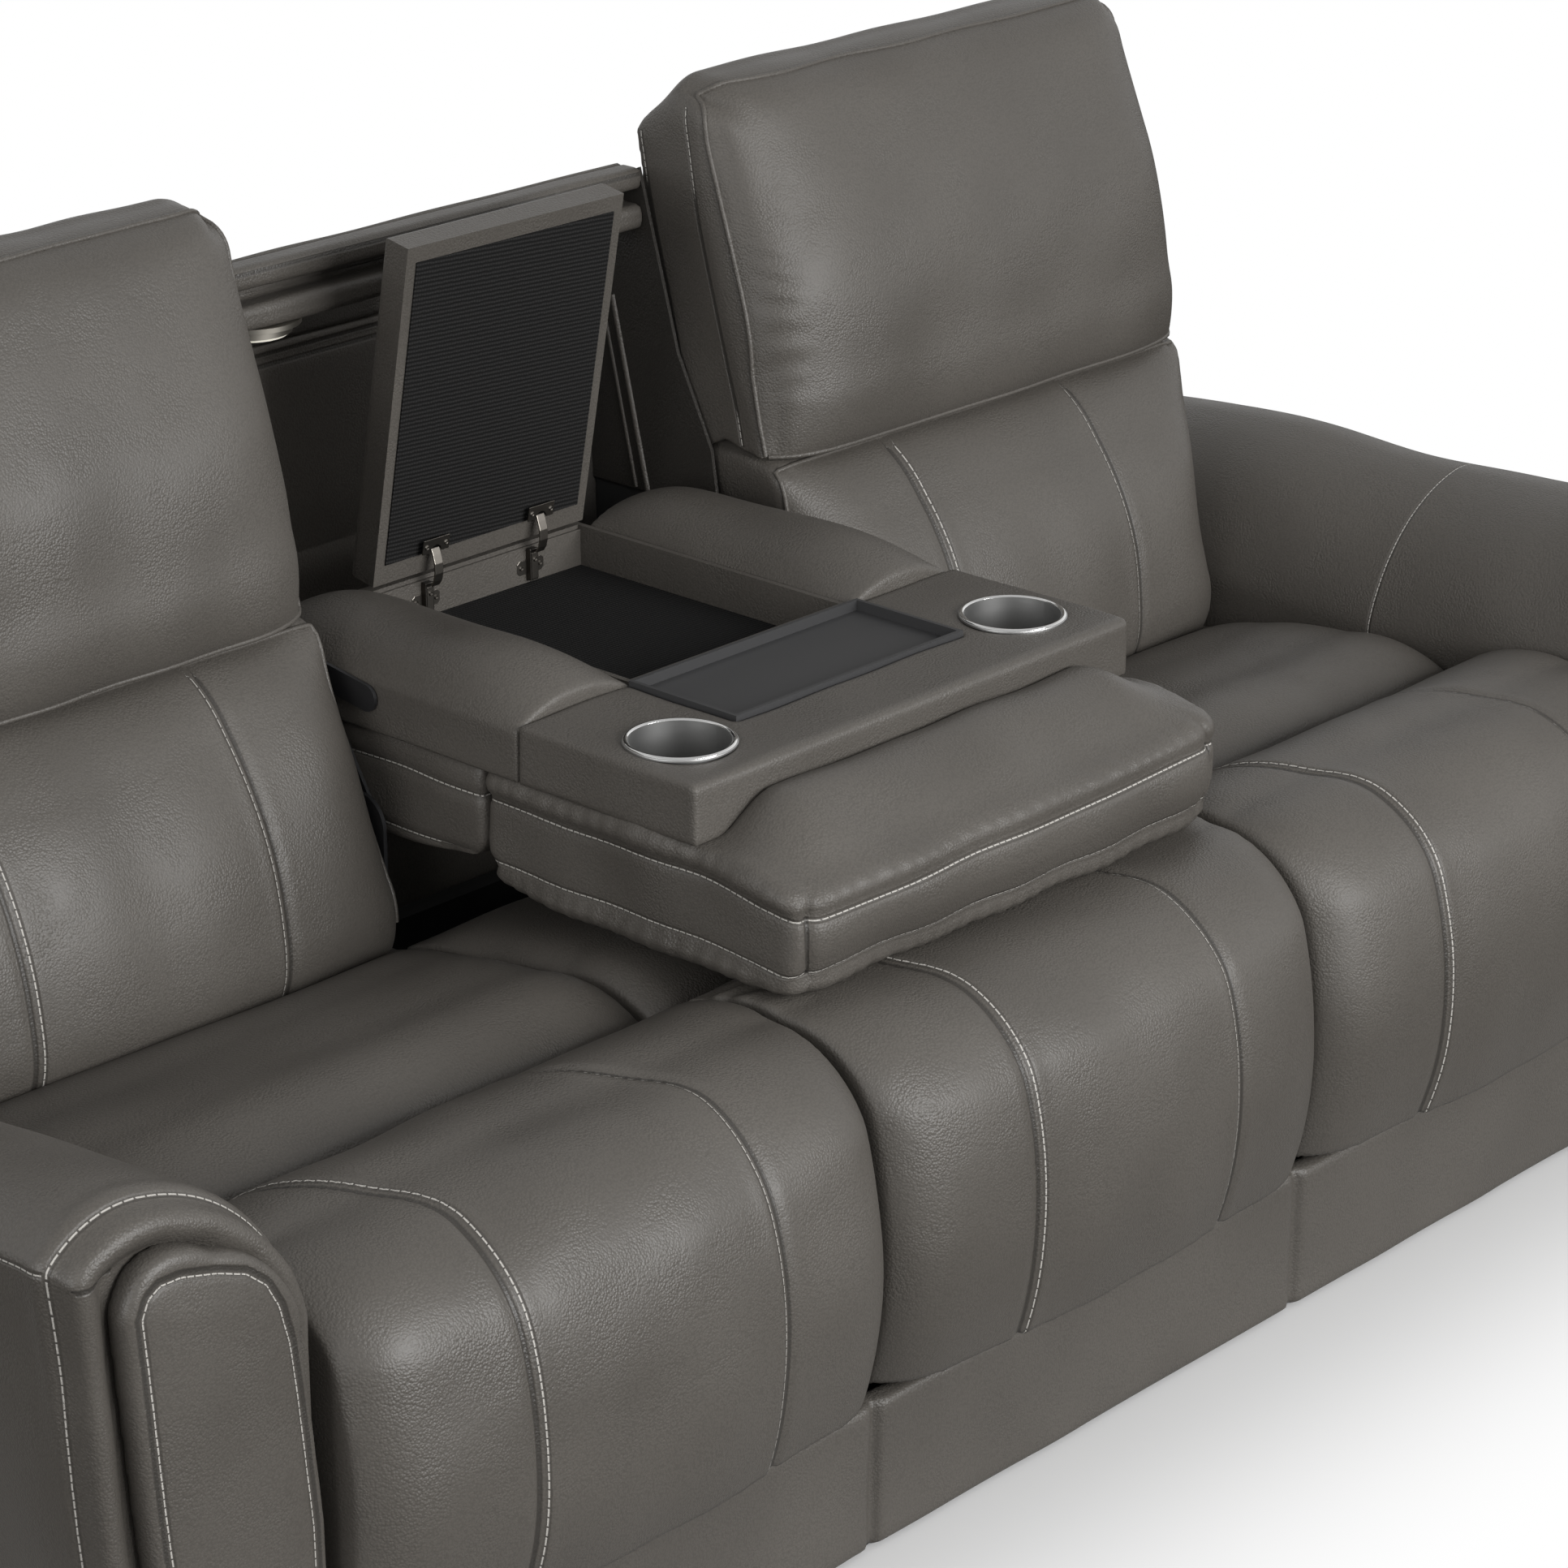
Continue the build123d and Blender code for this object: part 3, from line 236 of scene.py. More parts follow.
HINGE_METAL = plain("hinge_metal", (0.20, 0.185, 0.165), 0.34, metallic=1.0)
HINGE_DARK = plain("hinge_dark", (0.10, 0.092, 0.083), 0.35, metallic=1.0)
PLASTIC = plain("black_plastic", (0.018, 0.018, 0.019), 0.45, bump=0.0001)
TRAY_PLASTIC = plain("tray_plastic", (0.027, 0.027, 0.028), 0.5, bump=0.00012, scale=1500.0)
WOOD = plain("plywood", (0.42, 0.3, 0.18), 0.7, bump=0.0002, scale=120.0)
LINER_CLOTH = ribbed_cloth("liner_cloth", "X", "Z")
MAT_CLOTH = ribbed_cloth("mat_cloth", "X", "Y")
LENS = plain("lens", (0.82, 0.79, 0.68), 0.3)
DARK_CLOTH = plain("dark_cloth", (0.012, 0.012, 0.012), 0.9, bump=0.0003)


# Mesh helpers

def points(obj):
    co = np.empty(len(obj.data.vertices) * 3)
    obj.data.vertices.foreach_get("co", co)
    return co.reshape(-1, 3)


def normals(obj):
    n = np.empty(len(obj.data.vertices) * 3)
    obj.data.vertices.foreach_get("normal", n)
    return n.reshape(-1, 3)


def place_points(obj, co):
    obj.data.vertices.foreach_set("co", co.ravel())
    obj.data.update()


def push(obj, amount):
    """Moves every point along its normal."""
    place_points(obj, points(obj) + normals(obj) * amount[:, None])


def bell(d, width):
    """1 where d is 0, falling off to both sides."""
    return np.exp(-(d / width) ** 2)


def ramp(value, low, high):
    """Smooth step from 0, at low, to 1, at high."""
    t = np.clip((value - low) / (high - low), 0, 1)
    return t * t * (3 - 2 * t)


def waves(co, size, seed):
    """Smooth pseudo-random undulation, about -1 to 1, with features of the given size."""
    draw = np.random.default_rng(seed)
    count = 10
    total = np.zeros(len(co))
    for _ in range(count):
        way = draw.normal(size=3)
        way *= draw.uniform(0.6, 1.5) / np.linalg.norm(way) * 2 * math.pi / size
        total += np.sin(co @ way + draw.uniform(0, 2 * math.pi))
    return total / math.sqrt(count / 2.0) / 1.6


def round_corner(a, b, limit_a, limit_b, radius):
    """Draws points of a square corner, the last radius before both limits, in to a quarter circle."""
    u = np.clip((a - (limit_a - radius)) / radius, 0, None)
    v = np.clip((b - (limit_b - radius)) / radius, 0, None)
    inside = (u > 0) & (v > 0)
    longest = np.maximum(u, v)
    factor = np.where(inside, longest / np.maximum(np.hypot(u, v), 1e-9), 1.0)
    new_a = np.where(inside, limit_a - radius + u * factor * radius, a)
    new_b = np.where(inside, limit_b - radius + v * factor * radius, b)
    return new_a, new_b


def outline_distance(co, outline):
    """Distance in the XZ plane from points of either side to a line of corners, and the run along it."""
    best = np.full(len(co), np.inf)
    run = np.zeros(len(co))
    length = 0.0
    p = np.column_stack([np.abs(co[:, 0]), co[:, 2]])
    for a, b in zip(outline, outline[1:]):
        a = np.array(a)
        b = np.array(b)
        span = np.linalg.norm(b - a)
        t = np.clip((p - a) @ (b - a) / span ** 2, 0, 1)
        d = np.linalg.norm(p - (a + t[:, None] * (b - a)), axis=1)
        nearer = d < best
        best = np.where(nearer, d, best)
        run = np.where(nearer, length + t * span, run)
        length += span
    return best, run


def wear(data, material):
    data.materials.clear()
    data.materials.append(material)


def new_object(name, data, body, material, slot):
    obj = bpy.data.objects.new(name, data)
    scene.collection.objects.link(obj)
    wear(obj.data, material)
    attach(obj, body)
    return obj


def settle(obj):
    """Applies every modifier."""
    done = bpy.data.meshes.new_from_object(obj.evaluated_get(bpy.context.evaluated_depsgraph_get()))
    obj.modifiers.clear()
    obj.data = done
    for polygon in done.polygons:
        polygon.use_smooth = True


def smoothing(obj, rounds):
    smooth = obj.modifiers.new("ease", "SMOOTH")
    smooth.factor = 0.5
    smooth.iterations = rounds
    return smooth


def soft(node, body, material, voxel=0.005, smooth=4):
    """A fine even mesh over a CAD soft solid, which it stands for."""
    name = node + "_soft"
    obj = new_object(name, nodes[node].data.copy(), body, material, "leather")
    remesh = obj.modifiers.new("even", "REMESH")
    remesh.mode = "VOXEL"
    remesh.voxel_size = voxel
    smoothing(obj, smooth)
    settle(obj)
    wear(obj.data, material)
    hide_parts(node)
    return obj


def ease(obj, weights, rounds):
    """Smooths a piece where its weights are high."""
    group = obj.vertex_groups.new(name="ease")
    for index in np.nonzero(weights > 0.02)[0]:
        group.add([int(index)], float(weights[index]), "REPLACE")
    smoothing(obj, rounds).vertex_group = "ease"
    settle(obj)
    obj.vertex_groups.clear()


def to_floor(obj):
    """Lets the lowest edge of a covering hang to just above the floor."""
    co = points(obj)
    co[:, 2] -= HANG * (1 - ramp(co[:, 2], 0.024, 0.08))
    place_points(obj, co)


def tube(name, path, radius, body, material=LEATHER_PLAIN, closed=False):
    """A round cord along a path: leather piping, if no other material is given."""
    data = bpy.data.curves.new(name, "CURVE")
    data.dimensions = "3D"
    data.bevel_depth = radius
    data.bevel_resolution = 3
    data.use_fill_caps = True
    spline = data.splines.new("POLY")
    spline.points.add(len(path) - 1)
    for point, place in zip(spline.points, path):
        point.co = (*place, 1)
    spline.use_cyclic_u = closed
    spline.use_smooth = True
    mesh = bpy.data.meshes.new_from_object(bpy.data.objects.new(name + "_path", data))
    return new_object(name, mesh, body, material, "leather")


def slab(name, face, depth, body, material, slot, bevel=0.0004):
    """A flat plate with eased edges: a face of points in space, thickened by a vector."""
    count = len(face)
    corners = [Vector(c) for c in face] + [Vector(c) + Vector(depth) for c in face]
    sides = [(i, (i + 1) % count, count + (i + 1) % count, count + i) for i in range(count)]
    data = bpy.data.meshes.new(name)
    data.from_pydata(corners, [], [tuple(reversed(range(count))), tuple(range(count, 2 * count))] + sides)
    work = bmesh.new()
    work.from_mesh(data)
    bmesh.ops.recalc_face_normals(work, faces=work.faces)
    bmesh.ops.bevel(work, geom=work.edges[:], offset=bevel, segments=2, affect="EDGES", profile=0.5)
    work.to_mesh(data)
    work.free()
    return new_object(name, data, body, material, slot)


def caster(obj):
    """Ray caster on a piece: gives the first hit from a point along a direction, or None."""
    tree = BVHTree.FromObject(obj, bpy.context.evaluated_depsgraph_get())

    def cast(start, way):
        return tree.ray_cast(Vector(start), Vector(way))[0]
    return cast


def clean_path(hits):
    return [tuple(h) for h in hits if h is not None]


def only(distance, where):
    """A seam distance that keeps well away from zero wherever the seam isn't."""
    return distance + np.where(distance < 0, -0.3, 0.3) * (1 - where)


def sewn(obj, lines):
    """Seam attributes from (distance, run, thread) triples, at most three; thread 0 leaves a bare crease of
    painted shade.
    """
    count = len(obj.data.vertices)
    far = np.full((count, 3), 1.0)
    run = np.zeros((count, 3))
    thread = np.zeros((count, 3))
    for axis, (distance, along, shown) in enumerate(lines):
        far[:, axis] = distance
        run[:, axis] = along
        thread[:, axis] = shown
    for name, vectors in (("seam", far), ("run", run), ("thread", thread)):
        layer = obj.data.attributes.new(name, "FLOAT_VECTOR", "POINT")
        layer.data.foreach_set("vector", vectors.astype(np.float32).ravel())


# Seats: front rolls and cushions. VALLEY is the dip where roll and seat meet, and SEAM_LEAN is how far
# a roll's seams have moved to the left where they reach it.

SEAM_X = 0.142
VALLEY = 0.008
SEAM_LEAN = {"left": 0.085, "middle": 0.05, "right": 0.06}
CREASE_OFF = 0.001
THREAD_OFF = -0.0065
LAP_OFF = -0.010
LAP_RISE = 0.0010
UNEVEN = 0.0014
UNEVEN_SIZE = 0.16
ROLL_DRAW_IN = 0.003
ROLL_AXIS = (-0.40, 0.33)
ROLL_RADIUS = 0.15
PUCKER_PLACE = (-0.265, -0.300)
PUCKER_REACH = 0.035
PUCKER_LENGTH = 0.03
PUCKER_RISE = 0.0035
SEAT_RISE = 0.010
SEAT_DIP = 0.8 * VALLEY
SEAT_UNEVEN = 0.002


def seam_relief(obj, centre, where, seed, depth=0.0035, lean=0.0):
    """Two sewn seams at SEAM_X from the centre: the middle panel laps over the side panels."""
    co = points(obj)
    side = np.abs(co[:, 0] - centre + lean) - SEAM_X
    amount = -depth * bell(side - CREASE_OFF, 0.006) * where
    amount += LAP_RISE * bell(side - LAP_OFF, 0.008) * where
    amount += UNEVEN * waves(co, UNEVEN_SIZE, seed)
    push(obj, amount)
    return side


def lap_seam(obj, side, where, run):
    """The thread on the middle panel's edge and the crease beside it, which the material darkens as painted
    shade.
    """
    thread = only(side - THREAD_OFF, where)
    crease = only(side - CREASE_OFF, where)
    sewn(obj, [(thread, run, 1.0), (crease, run, 0.0)])


def front_roll(node, body, centre, seed):
    """Full front roll, drawn in at its rear and underside; the middle one puckers at its left rear corner."""
    obj = soft(node, body, LEATHER_SEWN)
    co = points(obj)
    inward = HALF - np.abs(co[:, 0] - centre)
    ease(obj, ramp(inward, 0.03, 0.08) * ramp(co[:, 2], 0.2, 0.26), 70)
    co = points(obj)
    co[:, 2] -= VALLEY * ramp(co[:, 1], -0.37, -0.25) * ramp(co[:, 2], 0.30, 0.40)
    place_points(obj, co)
    n = normals(obj)
    rear_or_under = np.maximum(ramp(n[:, 1], 0.3, 0.7), ramp(-n[:, 2], 0.5, 0.8))
    push(obj, -ROLL_DRAW_IN * rear_or_under)
    front = ramp(-n[:, 1], -0.85, -0.65)
    lean = SEAM_LEAN[node.split("_")[0]] * ramp(co[:, 1], -0.45, -0.25)
    side = seam_relief(obj, centre, front, seed, lean=lean)
    co = points(obj)
    if body == "base":
        x, y = PUCKER_PLACE
        corner = bell(co[:, 0] - centre - x, PUCKER_REACH) * bell(co[:, 1] - y, PUCKER_REACH)
        pucker = np.sin((co[:, 1] + 0.6 * co[:, 0]) * 2 * math.pi / PUCKER_LENGTH)
        push(obj, PUCKER_RISE * corner * (co[:, 2] > 0.40) * pucker)
    along = np.arctan2(co[:, 2] - ROLL_AXIS[1], ROLL_AXIS[0] - co[:, 1]) * ROLL_RADIUS
    lap_seam(obj, side, front, along)


def seat_cushion(node, body, centre, seed):
    """Seat cushion that dips to the roll in front of it and rises to the back."""
    obj = soft(node, body, LEATHER_PLAIN)
    co = points(obj)
    inward = HALF - np.abs(co[:, 0] - centre)
    ease(obj, ramp(inward, 0.02, 0.06) * ramp(co[:, 2], 0.36, 0.4), 60)
    co = points(obj)
    rise = SEAT_RISE * ramp(co[:, 1], -0.02, 0.07)
    dip = SEAT_DIP * (1 - ramp(co[:, 1], -0.25, -0.13))
    co[:, 2] += ramp(co[:, 2], 0.30, 0.40) * (rise - dip)
    place_points(obj, co)
    push(obj, SEAT_UNEVEN * waves(points(obj), 0.2, seed) * ramp(co[:, 2], 0.36, 0.4))


# Backs

LUMBAR_TOP = 0.698
LUMBAR_CORNER = 0.022
LUMBAR_RISE = 0.010
LUMBAR_LIP = 0.003
LUMBAR_BACK = 0.012
LUMBAR_DROP = 0.012
SWELL = 0.052
ARM_CLEARANCE = 0.005
HEAD_REACH = 0.0275
HEAD_FOOT = 0.710
HEAD_TOP = 1.047
HEAD_LIFT = 0.024
HEAD_CREST = HEAD_TOP + HEAD_LIFT
HEAD_CORNER = 0.045
HEAD_FRONT_Y = 0.222
HEAD_SLOPE = 0.262
HEAD_DEEPER = 0.014
HEAD_FRONT_DROP = 0.007
HEAD_REAR_DROP = 0.012
HEAD_DIP = 0.0025
HEAD_PUCKER = 0.0012
BORDER_SEAMS = (0.014, 0.070)
HEAD_PIPING = 0.0027
HEAD_PIPING_IN = 0.0042
HEAD_PUCKER_LENGTH = 0.026


def lumbar(node, body, centre, sign, seed):
    """Lower back cushion. Above the arm its outer end swells over it."""
    obj = soft(node, body, LEATHER_SEWN)
    co = points(obj)
    x, z = round_corner(np.abs(co[:, 0] - centre), co[:, 2], HALF, LUMBAR_TOP, LUMBAR_CORNER)
    co = np.column_stack([centre + np.sign(co[:, 0] - centre) * x, co[:, 1], z])
    place_points(obj, co)
    inward = HALF - np.abs(co[:, 0] - centre)
    facing = ramp(-normals(obj)[:, 1], 0.2, 0.6)
    ease(obj, ramp(inward, 0.01, 0.04) * facing * (1 - ramp(co[:, 2], 0.655, 0.68)), 60)
    # The top rises, its rear edge goes back under the headrest, and the foot reaches down to the seat.
    co = points(obj)
    lip = LUMBAR_LIP * ramp(co[:, 1], 0.215, 0.235) * (co[:, 2] > 0.68)
    co[:, 2] += LUMBAR_RISE * ramp(co[:, 2], 0.64, 0.69) + lip
    co[:, 1] += LUMBAR_BACK * ramp(co[:, 1], 0.25, 0.275) * ramp(co[:, 2], 0.58, 0.64)
    co[:, 2] -= LUMBAR_DROP * (1 - ramp(co[:, 2], 0.40, 0.47))
    outer = sign * (co[:, 0] - centre)
    swell = SWELL * ramp(co[:, 2], 0.50, 0.72) * ramp(outer, 0.10, HALF)
    arm_hit = caster(nodes[("left" if sign < 0 else "right") + "_arm"])
    for index in np.nonzero(swell > 0.001)[0]:
        hit = arm_hit((centre, co[index, 1], co[index, 2]), (sign, 0, 0))
        if hit is not None:
            room = sign * (hit[0] - co[index, 0]) - ARM_CLEARANCE
            swell[index] = min(swell[index], max(room, 0.0))
    co[:, 0] += sign * swell
    place_points(obj, co)
    facing = ramp(-normals(obj)[:, 1], 0.2, 0.55)
    side = seam_relief(obj, centre, facing, seed, depth=0.003)
    lap_seam(obj, side, facing, points(obj)[:, 2])
    # Piping up the inner edge and along the top, which reaches further on the swollen side.
    cast = caster(obj)
    end = HALF - 0.008
    further = 0.05
    xs = np.linspace(-end - further * (sign < 0), end + further * (sign > 0), 70)
    down = Vector((0, 1, -1)).normalized()
    path = [cast(Vector((centre + x, 0.19, 0.700)) - down * 0.2, down) for x in xs]
    inner_x = centre - sign * (HALF - 0.004)
    inner = [cast((inner_x, -0.2, z), (0, 1, 0)) for z in np.linspace(0.43, 0.692, 40)]
    if sign < 0:
        path.reverse()
    piping = tube(node + "_piping", clean_path(inner + path), PIPING, body)
    for piece in (obj, piping):
        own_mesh(piece)


def headrest(node, body, centre, sign, seed):
    """Boxed headrest: a full front, a piped edge, a border with two seams whose thread shows at the ends."""
    middle = centre + sign * HEAD_REACH
    half = HALF + HEAD_REACH
    obj = soft(node, body, LEATHER_SEWN, voxel=0.0045, smooth=3)
    co = points(obj)
    x, z = round_corner(np.abs(co[:, 0] - middle), co[:, 2], half, HEAD_TOP, HEAD_CORNER)
    co = np.column_stack([middle + np.sign(co[:, 0] - middle) * x, co[:, 1], z])
    place_points(obj, co)
    inward = half - np.abs(co[:, 0] - middle)
    inside = ramp(inward, 0.012, 0.05) * ramp(co[:, 2], HEAD_FOOT + 0.008, 0.75)
    inside *= 1 - ramp(co[:, 2], 1.0, 1.035)
    ease(obj, inside * ramp(-normals(obj)[:, 1], 0.2, 0.6), 160)
    # Against the solid the border is deeper, mostly at its foot, the front edge higher and the foot lower.
    co = points(obj)
    depth = co[:, 1] - (HEAD_FRONT_Y + (co[:, 2] - HEAD_FOOT) * HEAD_SLOPE)
    at_foot = ramp(depth, 0.045, 0.07) * (1 - ramp(co[:, 2], 0.72, 0.80))
    co[:, 1] += HEAD_DEEPER * ramp(depth, 0.045, 0.08) + HEAD_DEEPER * at_foot
    co[:, 2] += HEAD_LIFT * (1 - ramp(depth, 0.025, 0.075)) * ramp(co[:, 2], 0.93, 1.03)
    low_edge = 1 - ramp(co[:, 2], HEAD_FOOT, HEAD_FOOT + 0.05)
    drop = HEAD_FRONT_DROP * (1 - ramp(depth, 0.01, 0.04)) + HEAD_REAR_DROP * ramp(depth, 0.04, 0.06)
    co[:, 2] -= low_edge * drop
    place_points(obj, co)
    ease(obj, ramp(co[:, 2], 0.95, 1.0) * ramp(depth, 0.025, 0.05), 40)
    # The front dips beside its piping, and the right headrest puckers beside its inner edge.
    co = points(obj)
    n = normals(obj)
    inward = half - np.abs(co[:, 0] - middle)
    facing = ramp(-n[:, 1], 0.3, 0.8)
    pucker = np.sin(co[:, 2] * 2 * math.pi / HEAD_PUCKER_LENGTH + 1.5 * waves(co, 0.12, seed + 3))
    reach = bell(inward - 0.022, 0.016) * facing * bell(co[:, 2] - 0.85, 0.075)
    right_inner = (co[:, 0] - middle < 0) * (sign > 0)
    amount = UNEVEN * waves(co, UNEVEN_SIZE, seed) + HEAD_PUCKER * pucker * reach * right_inner
    amount -= HEAD_DIP * bell(inward - 0.010, 0.006) * facing
    push(obj, amount)
    side_face = ramp(np.abs(n[:, 0]), 0.75, 0.92)
    ends = 1 - ramp(co[:, 2], 0.735, 0.75) * (1 - ramp(co[:, 2], 0.955, 0.97))
    sewn(obj, [(only(depth - seam, side_face), co[:, 2], ends) for seam in BORDER_SEAMS])
    cast = caster(obj)
    xs = np.linspace(-half + 0.006, half - 0.006, 70)
    path = clean_path([cast((middle + x, -0.2, HEAD_FOOT - 0.0035), (0, 1, 0)) for x in xs])
    tube(node + "_low_piping", path, PIPING, body)
    turn_x = half - HEAD_CORNER
    turn_z = HEAD_CREST - HEAD_CORNER
    radius = HEAD_CORNER - HEAD_PIPING_IN
    sides = [(half - HEAD_PIPING_IN, z) for z in np.linspace(HEAD_FOOT - 0.003, turn_z, 60)]
    turn = [(turn_x + radius * math.cos(a), turn_z + radius * math.sin(a))
            for a in np.linspace(0, math.pi / 2, 14)[1:-1]]
    half_top = [(x, HEAD_CREST - HEAD_PIPING_IN) for x in np.linspace(turn_x, 0, 30)]
    right = sides + turn + half_top
    outline = right + [(-x, z) for x, z in reversed(right[:-1])]
    path = clean_path([cast((middle + x, -0.2, z), (0, 1, 0)) for x, z in outline])
    tube(node + "_piping", path, HEAD_PIPING, body)


# Arms. ARM_OUTLINE and PAD_OUTLINE are the right front faces of arm and inset pad, as (x, z).

ARM_OUTLINE = ((0.907, 0.004), (0.907, 0.470), (0.922, 0.515), (0.950, 0.555), (0.995, 0.590),
               (1.0456, 0.608), (1.075, 0.609), (1.100, 0.604), (1.122, 0.594), (1.138, 0.577),
               (1.067, 0.004))
ARM_ROLL = 0.040
ARM_ROLL_RISE = 0.015
ARM_FLARE = 0.016
ARM_UNEVEN = 0.0016
ARM_PUFF = 0.002
GROOVE = 0.0035
ARM_SEAM_Y = -0.445
ARM_CROSS_Y = -0.110
ARM_TOP_Y = (-0.457, -0.287, -0.117, 0.053, 0.223, 0.395)
ARM_TOP_Z = (0.611, 0.602, 0.589, 0.593, 0.591, 0.571)
ARM_SIDE_SEAM_DROP = 0.034
ARM_CORNER_Z = 0.568
PAD_OUTLINE = ((0.913, 0.024), (0.915, 0.3), (0.931, 0.48), (0.940, 0.525), (0.954, 0.552), (0.978, 0.568),
               (1.010, 0.574), (1.045, 0.576), (1.070, 0.571), (1.087, 0.557), (1.096, 0.535), (1.066, 0.28),
               (1.035, 0.024))
PAD_FULL = 0.004
PAD_GROOVE = 0.0015
PAD_THREAD_IN = 0.015
PAD_CREASE_IN = 0.0105
PAD_FLARE = 0.010
PAD_TILT = 0.22
PAD_TILT_X = 1.076


def flare(co):
    """How far a point of an arm's front belongs to its outer lower edge, which stands out a little."""
    return ramp(np.abs(co[:, 0]), 0.98, 1.05) * ramp(-co[:, 1], 0.30, 0.42) * (1 - ramp(co[:, 2], 0.30, 0.58))


def arm(side, sign):
    """Arm with a padded roll round its front face and a stitched arch behind that.

    Other seams run across its top and along its outer side, with a crease of painted shade at the front's
    outer corner.
    """
    obj = soft(side + "_arm", "base", LEATHER_SEWN, smooth=5)
    to_floor(obj)
    co = points(obj)
    n = normals(obj)
    facing = ramp(-n[:, 1], 0.55, 0.85)
    edge, _ = outline_distance(co, ARM_OUTLINE)
    roll = ARM_ROLL_RISE * np.sin(np.pi * np.clip((edge + 0.004) / ARM_ROLL, 0, 1)) * facing
    border = co[:, 1] - ARM_SEAM_Y
    around = 1 - ramp(-n[:, 1], 0.8, 0.95)
    groove = bell(border + 0.003, 0.005) * around * ramp(co[:, 2], 0.05, 0.1)
    co[:, 1] -= roll
    co[:, 0] += sign * ARM_FLARE * flare(co)
    place_points(obj, co)
    upper = ramp(co[:, 2], 0.42, 0.5)
    amount = ARM_UNEVEN * waves(co, 0.2, 40 + sign) * upper - GROOVE * groove
    amount += ARM_PUFF * bell(border - 0.012, 0.009) * around * upper
    push(obj, amount)
    angle = np.arctan2(co[:, 2] - 0.45, np.abs(co[:, 0]) - 1.02) * 0.12
    run = np.where(co[:, 2] > 0.47, angle, co[:, 2])
    inner = ramp(-np.sign(co[:, 0]) * n[:, 0] + 2 * n[:, 2], 0.2, 0.6)
    outer = (np.sign(co[:, 0]) * n[:, 0] > 0.3) & (np.abs(co[:, 0]) > 1.09)
    below_top = co[:, 2] - np.interp(co[:, 1], ARM_TOP_Y, ARM_TOP_Z) + ARM_SIDE_SEAM_DROP
    along_side = only(below_top, (border > 0.002) * 1.0)
    across_top = only(co[:, 1] - ARM_CROSS_Y, inner)
    second = np.where(outer, along_side, across_top)
    second_run = np.where(outer, co[:, 1], co[:, 2] + np.abs(co[:, 0]))
    # The outer corner's crease is a bump dip and a line of painted shade, with no thread.
    corner_painted_crease = only(co[:, 2] - ARM_CORNER_Z, (np.abs(co[:, 0]) > 1.085) * facing)
    sewn(obj, [(only(border, around), run, 1.0), (second, second_run, 1.0), (corner_painted_crease, run, 0.0)])


def arm_pads():
    """Inset pads on the arms' fronts: full in the middle, lower at the inner shoulder, sewn all round."""
    obj = soft("arm_front_pads", "base", LEATHER_SEWN, voxel=0.004)
    to_floor(obj)
    co = points(obj)
    edge, run = outline_distance(co, PAD_OUTLINE)
    face = ramp(-normals(obj)[:, 1], 0.5, 0.9)
    push(obj, face * (PAD_FULL * ramp(edge, 0.006, 0.05) - PAD_GROOVE * bell(edge - 0.014, 0.004)))
    co = points(obj)
    co[:, 2] += PAD_TILT * np.minimum(np.abs(co[:, 0]) - PAD_TILT_X, 0) * ramp(co[:, 2], 0.40, 0.55)
    co[:, 0] += np.sign(co[:, 0]) * PAD_FLARE * flare(co)
    place_points(obj, co)
    # The crease inside each pad's thread is a slight bump dip with painted shade.
    sewn(obj, [(only(edge - PAD_THREAD_IN, face), run, 1.0), (only(edge - PAD_CREASE_IN, face), run, 0.0)])


def skirts():
    obj = soft("front_skirts", "base", LEATHER_PLAIN, voxel=0.004)
    to_floor(obj)
    push(obj, 0.0012 * waves(points(obj), 0.16, 71) * ramp(-normals(obj)[:, 1], 0.3, 0.8))


# Table

TABLE_HEAD_X = 0.288
TABLE_HEAD_Y = 0.397
TABLE_HEAD_CORNER = 0.03
TABLE_HEAD_RISE = 0.030
TABLE_HEAD_DROP = 0.020
PUFF_RISE = 0.0060
WRINKLE_RISE = 0.0007
TABLE_HEAD_SEAMS = (0.572, 0.514)
WRINKLE_LENGTH = 0.022
TABLE_LUMBAR_SEAMS = (0.572, 0.512)
CUP_CENTRE = (0.224, -0.187, 0.6575)
CUP_RIM_RADIUS = 0.0482
CUP_RIM_THICK = 0.0024


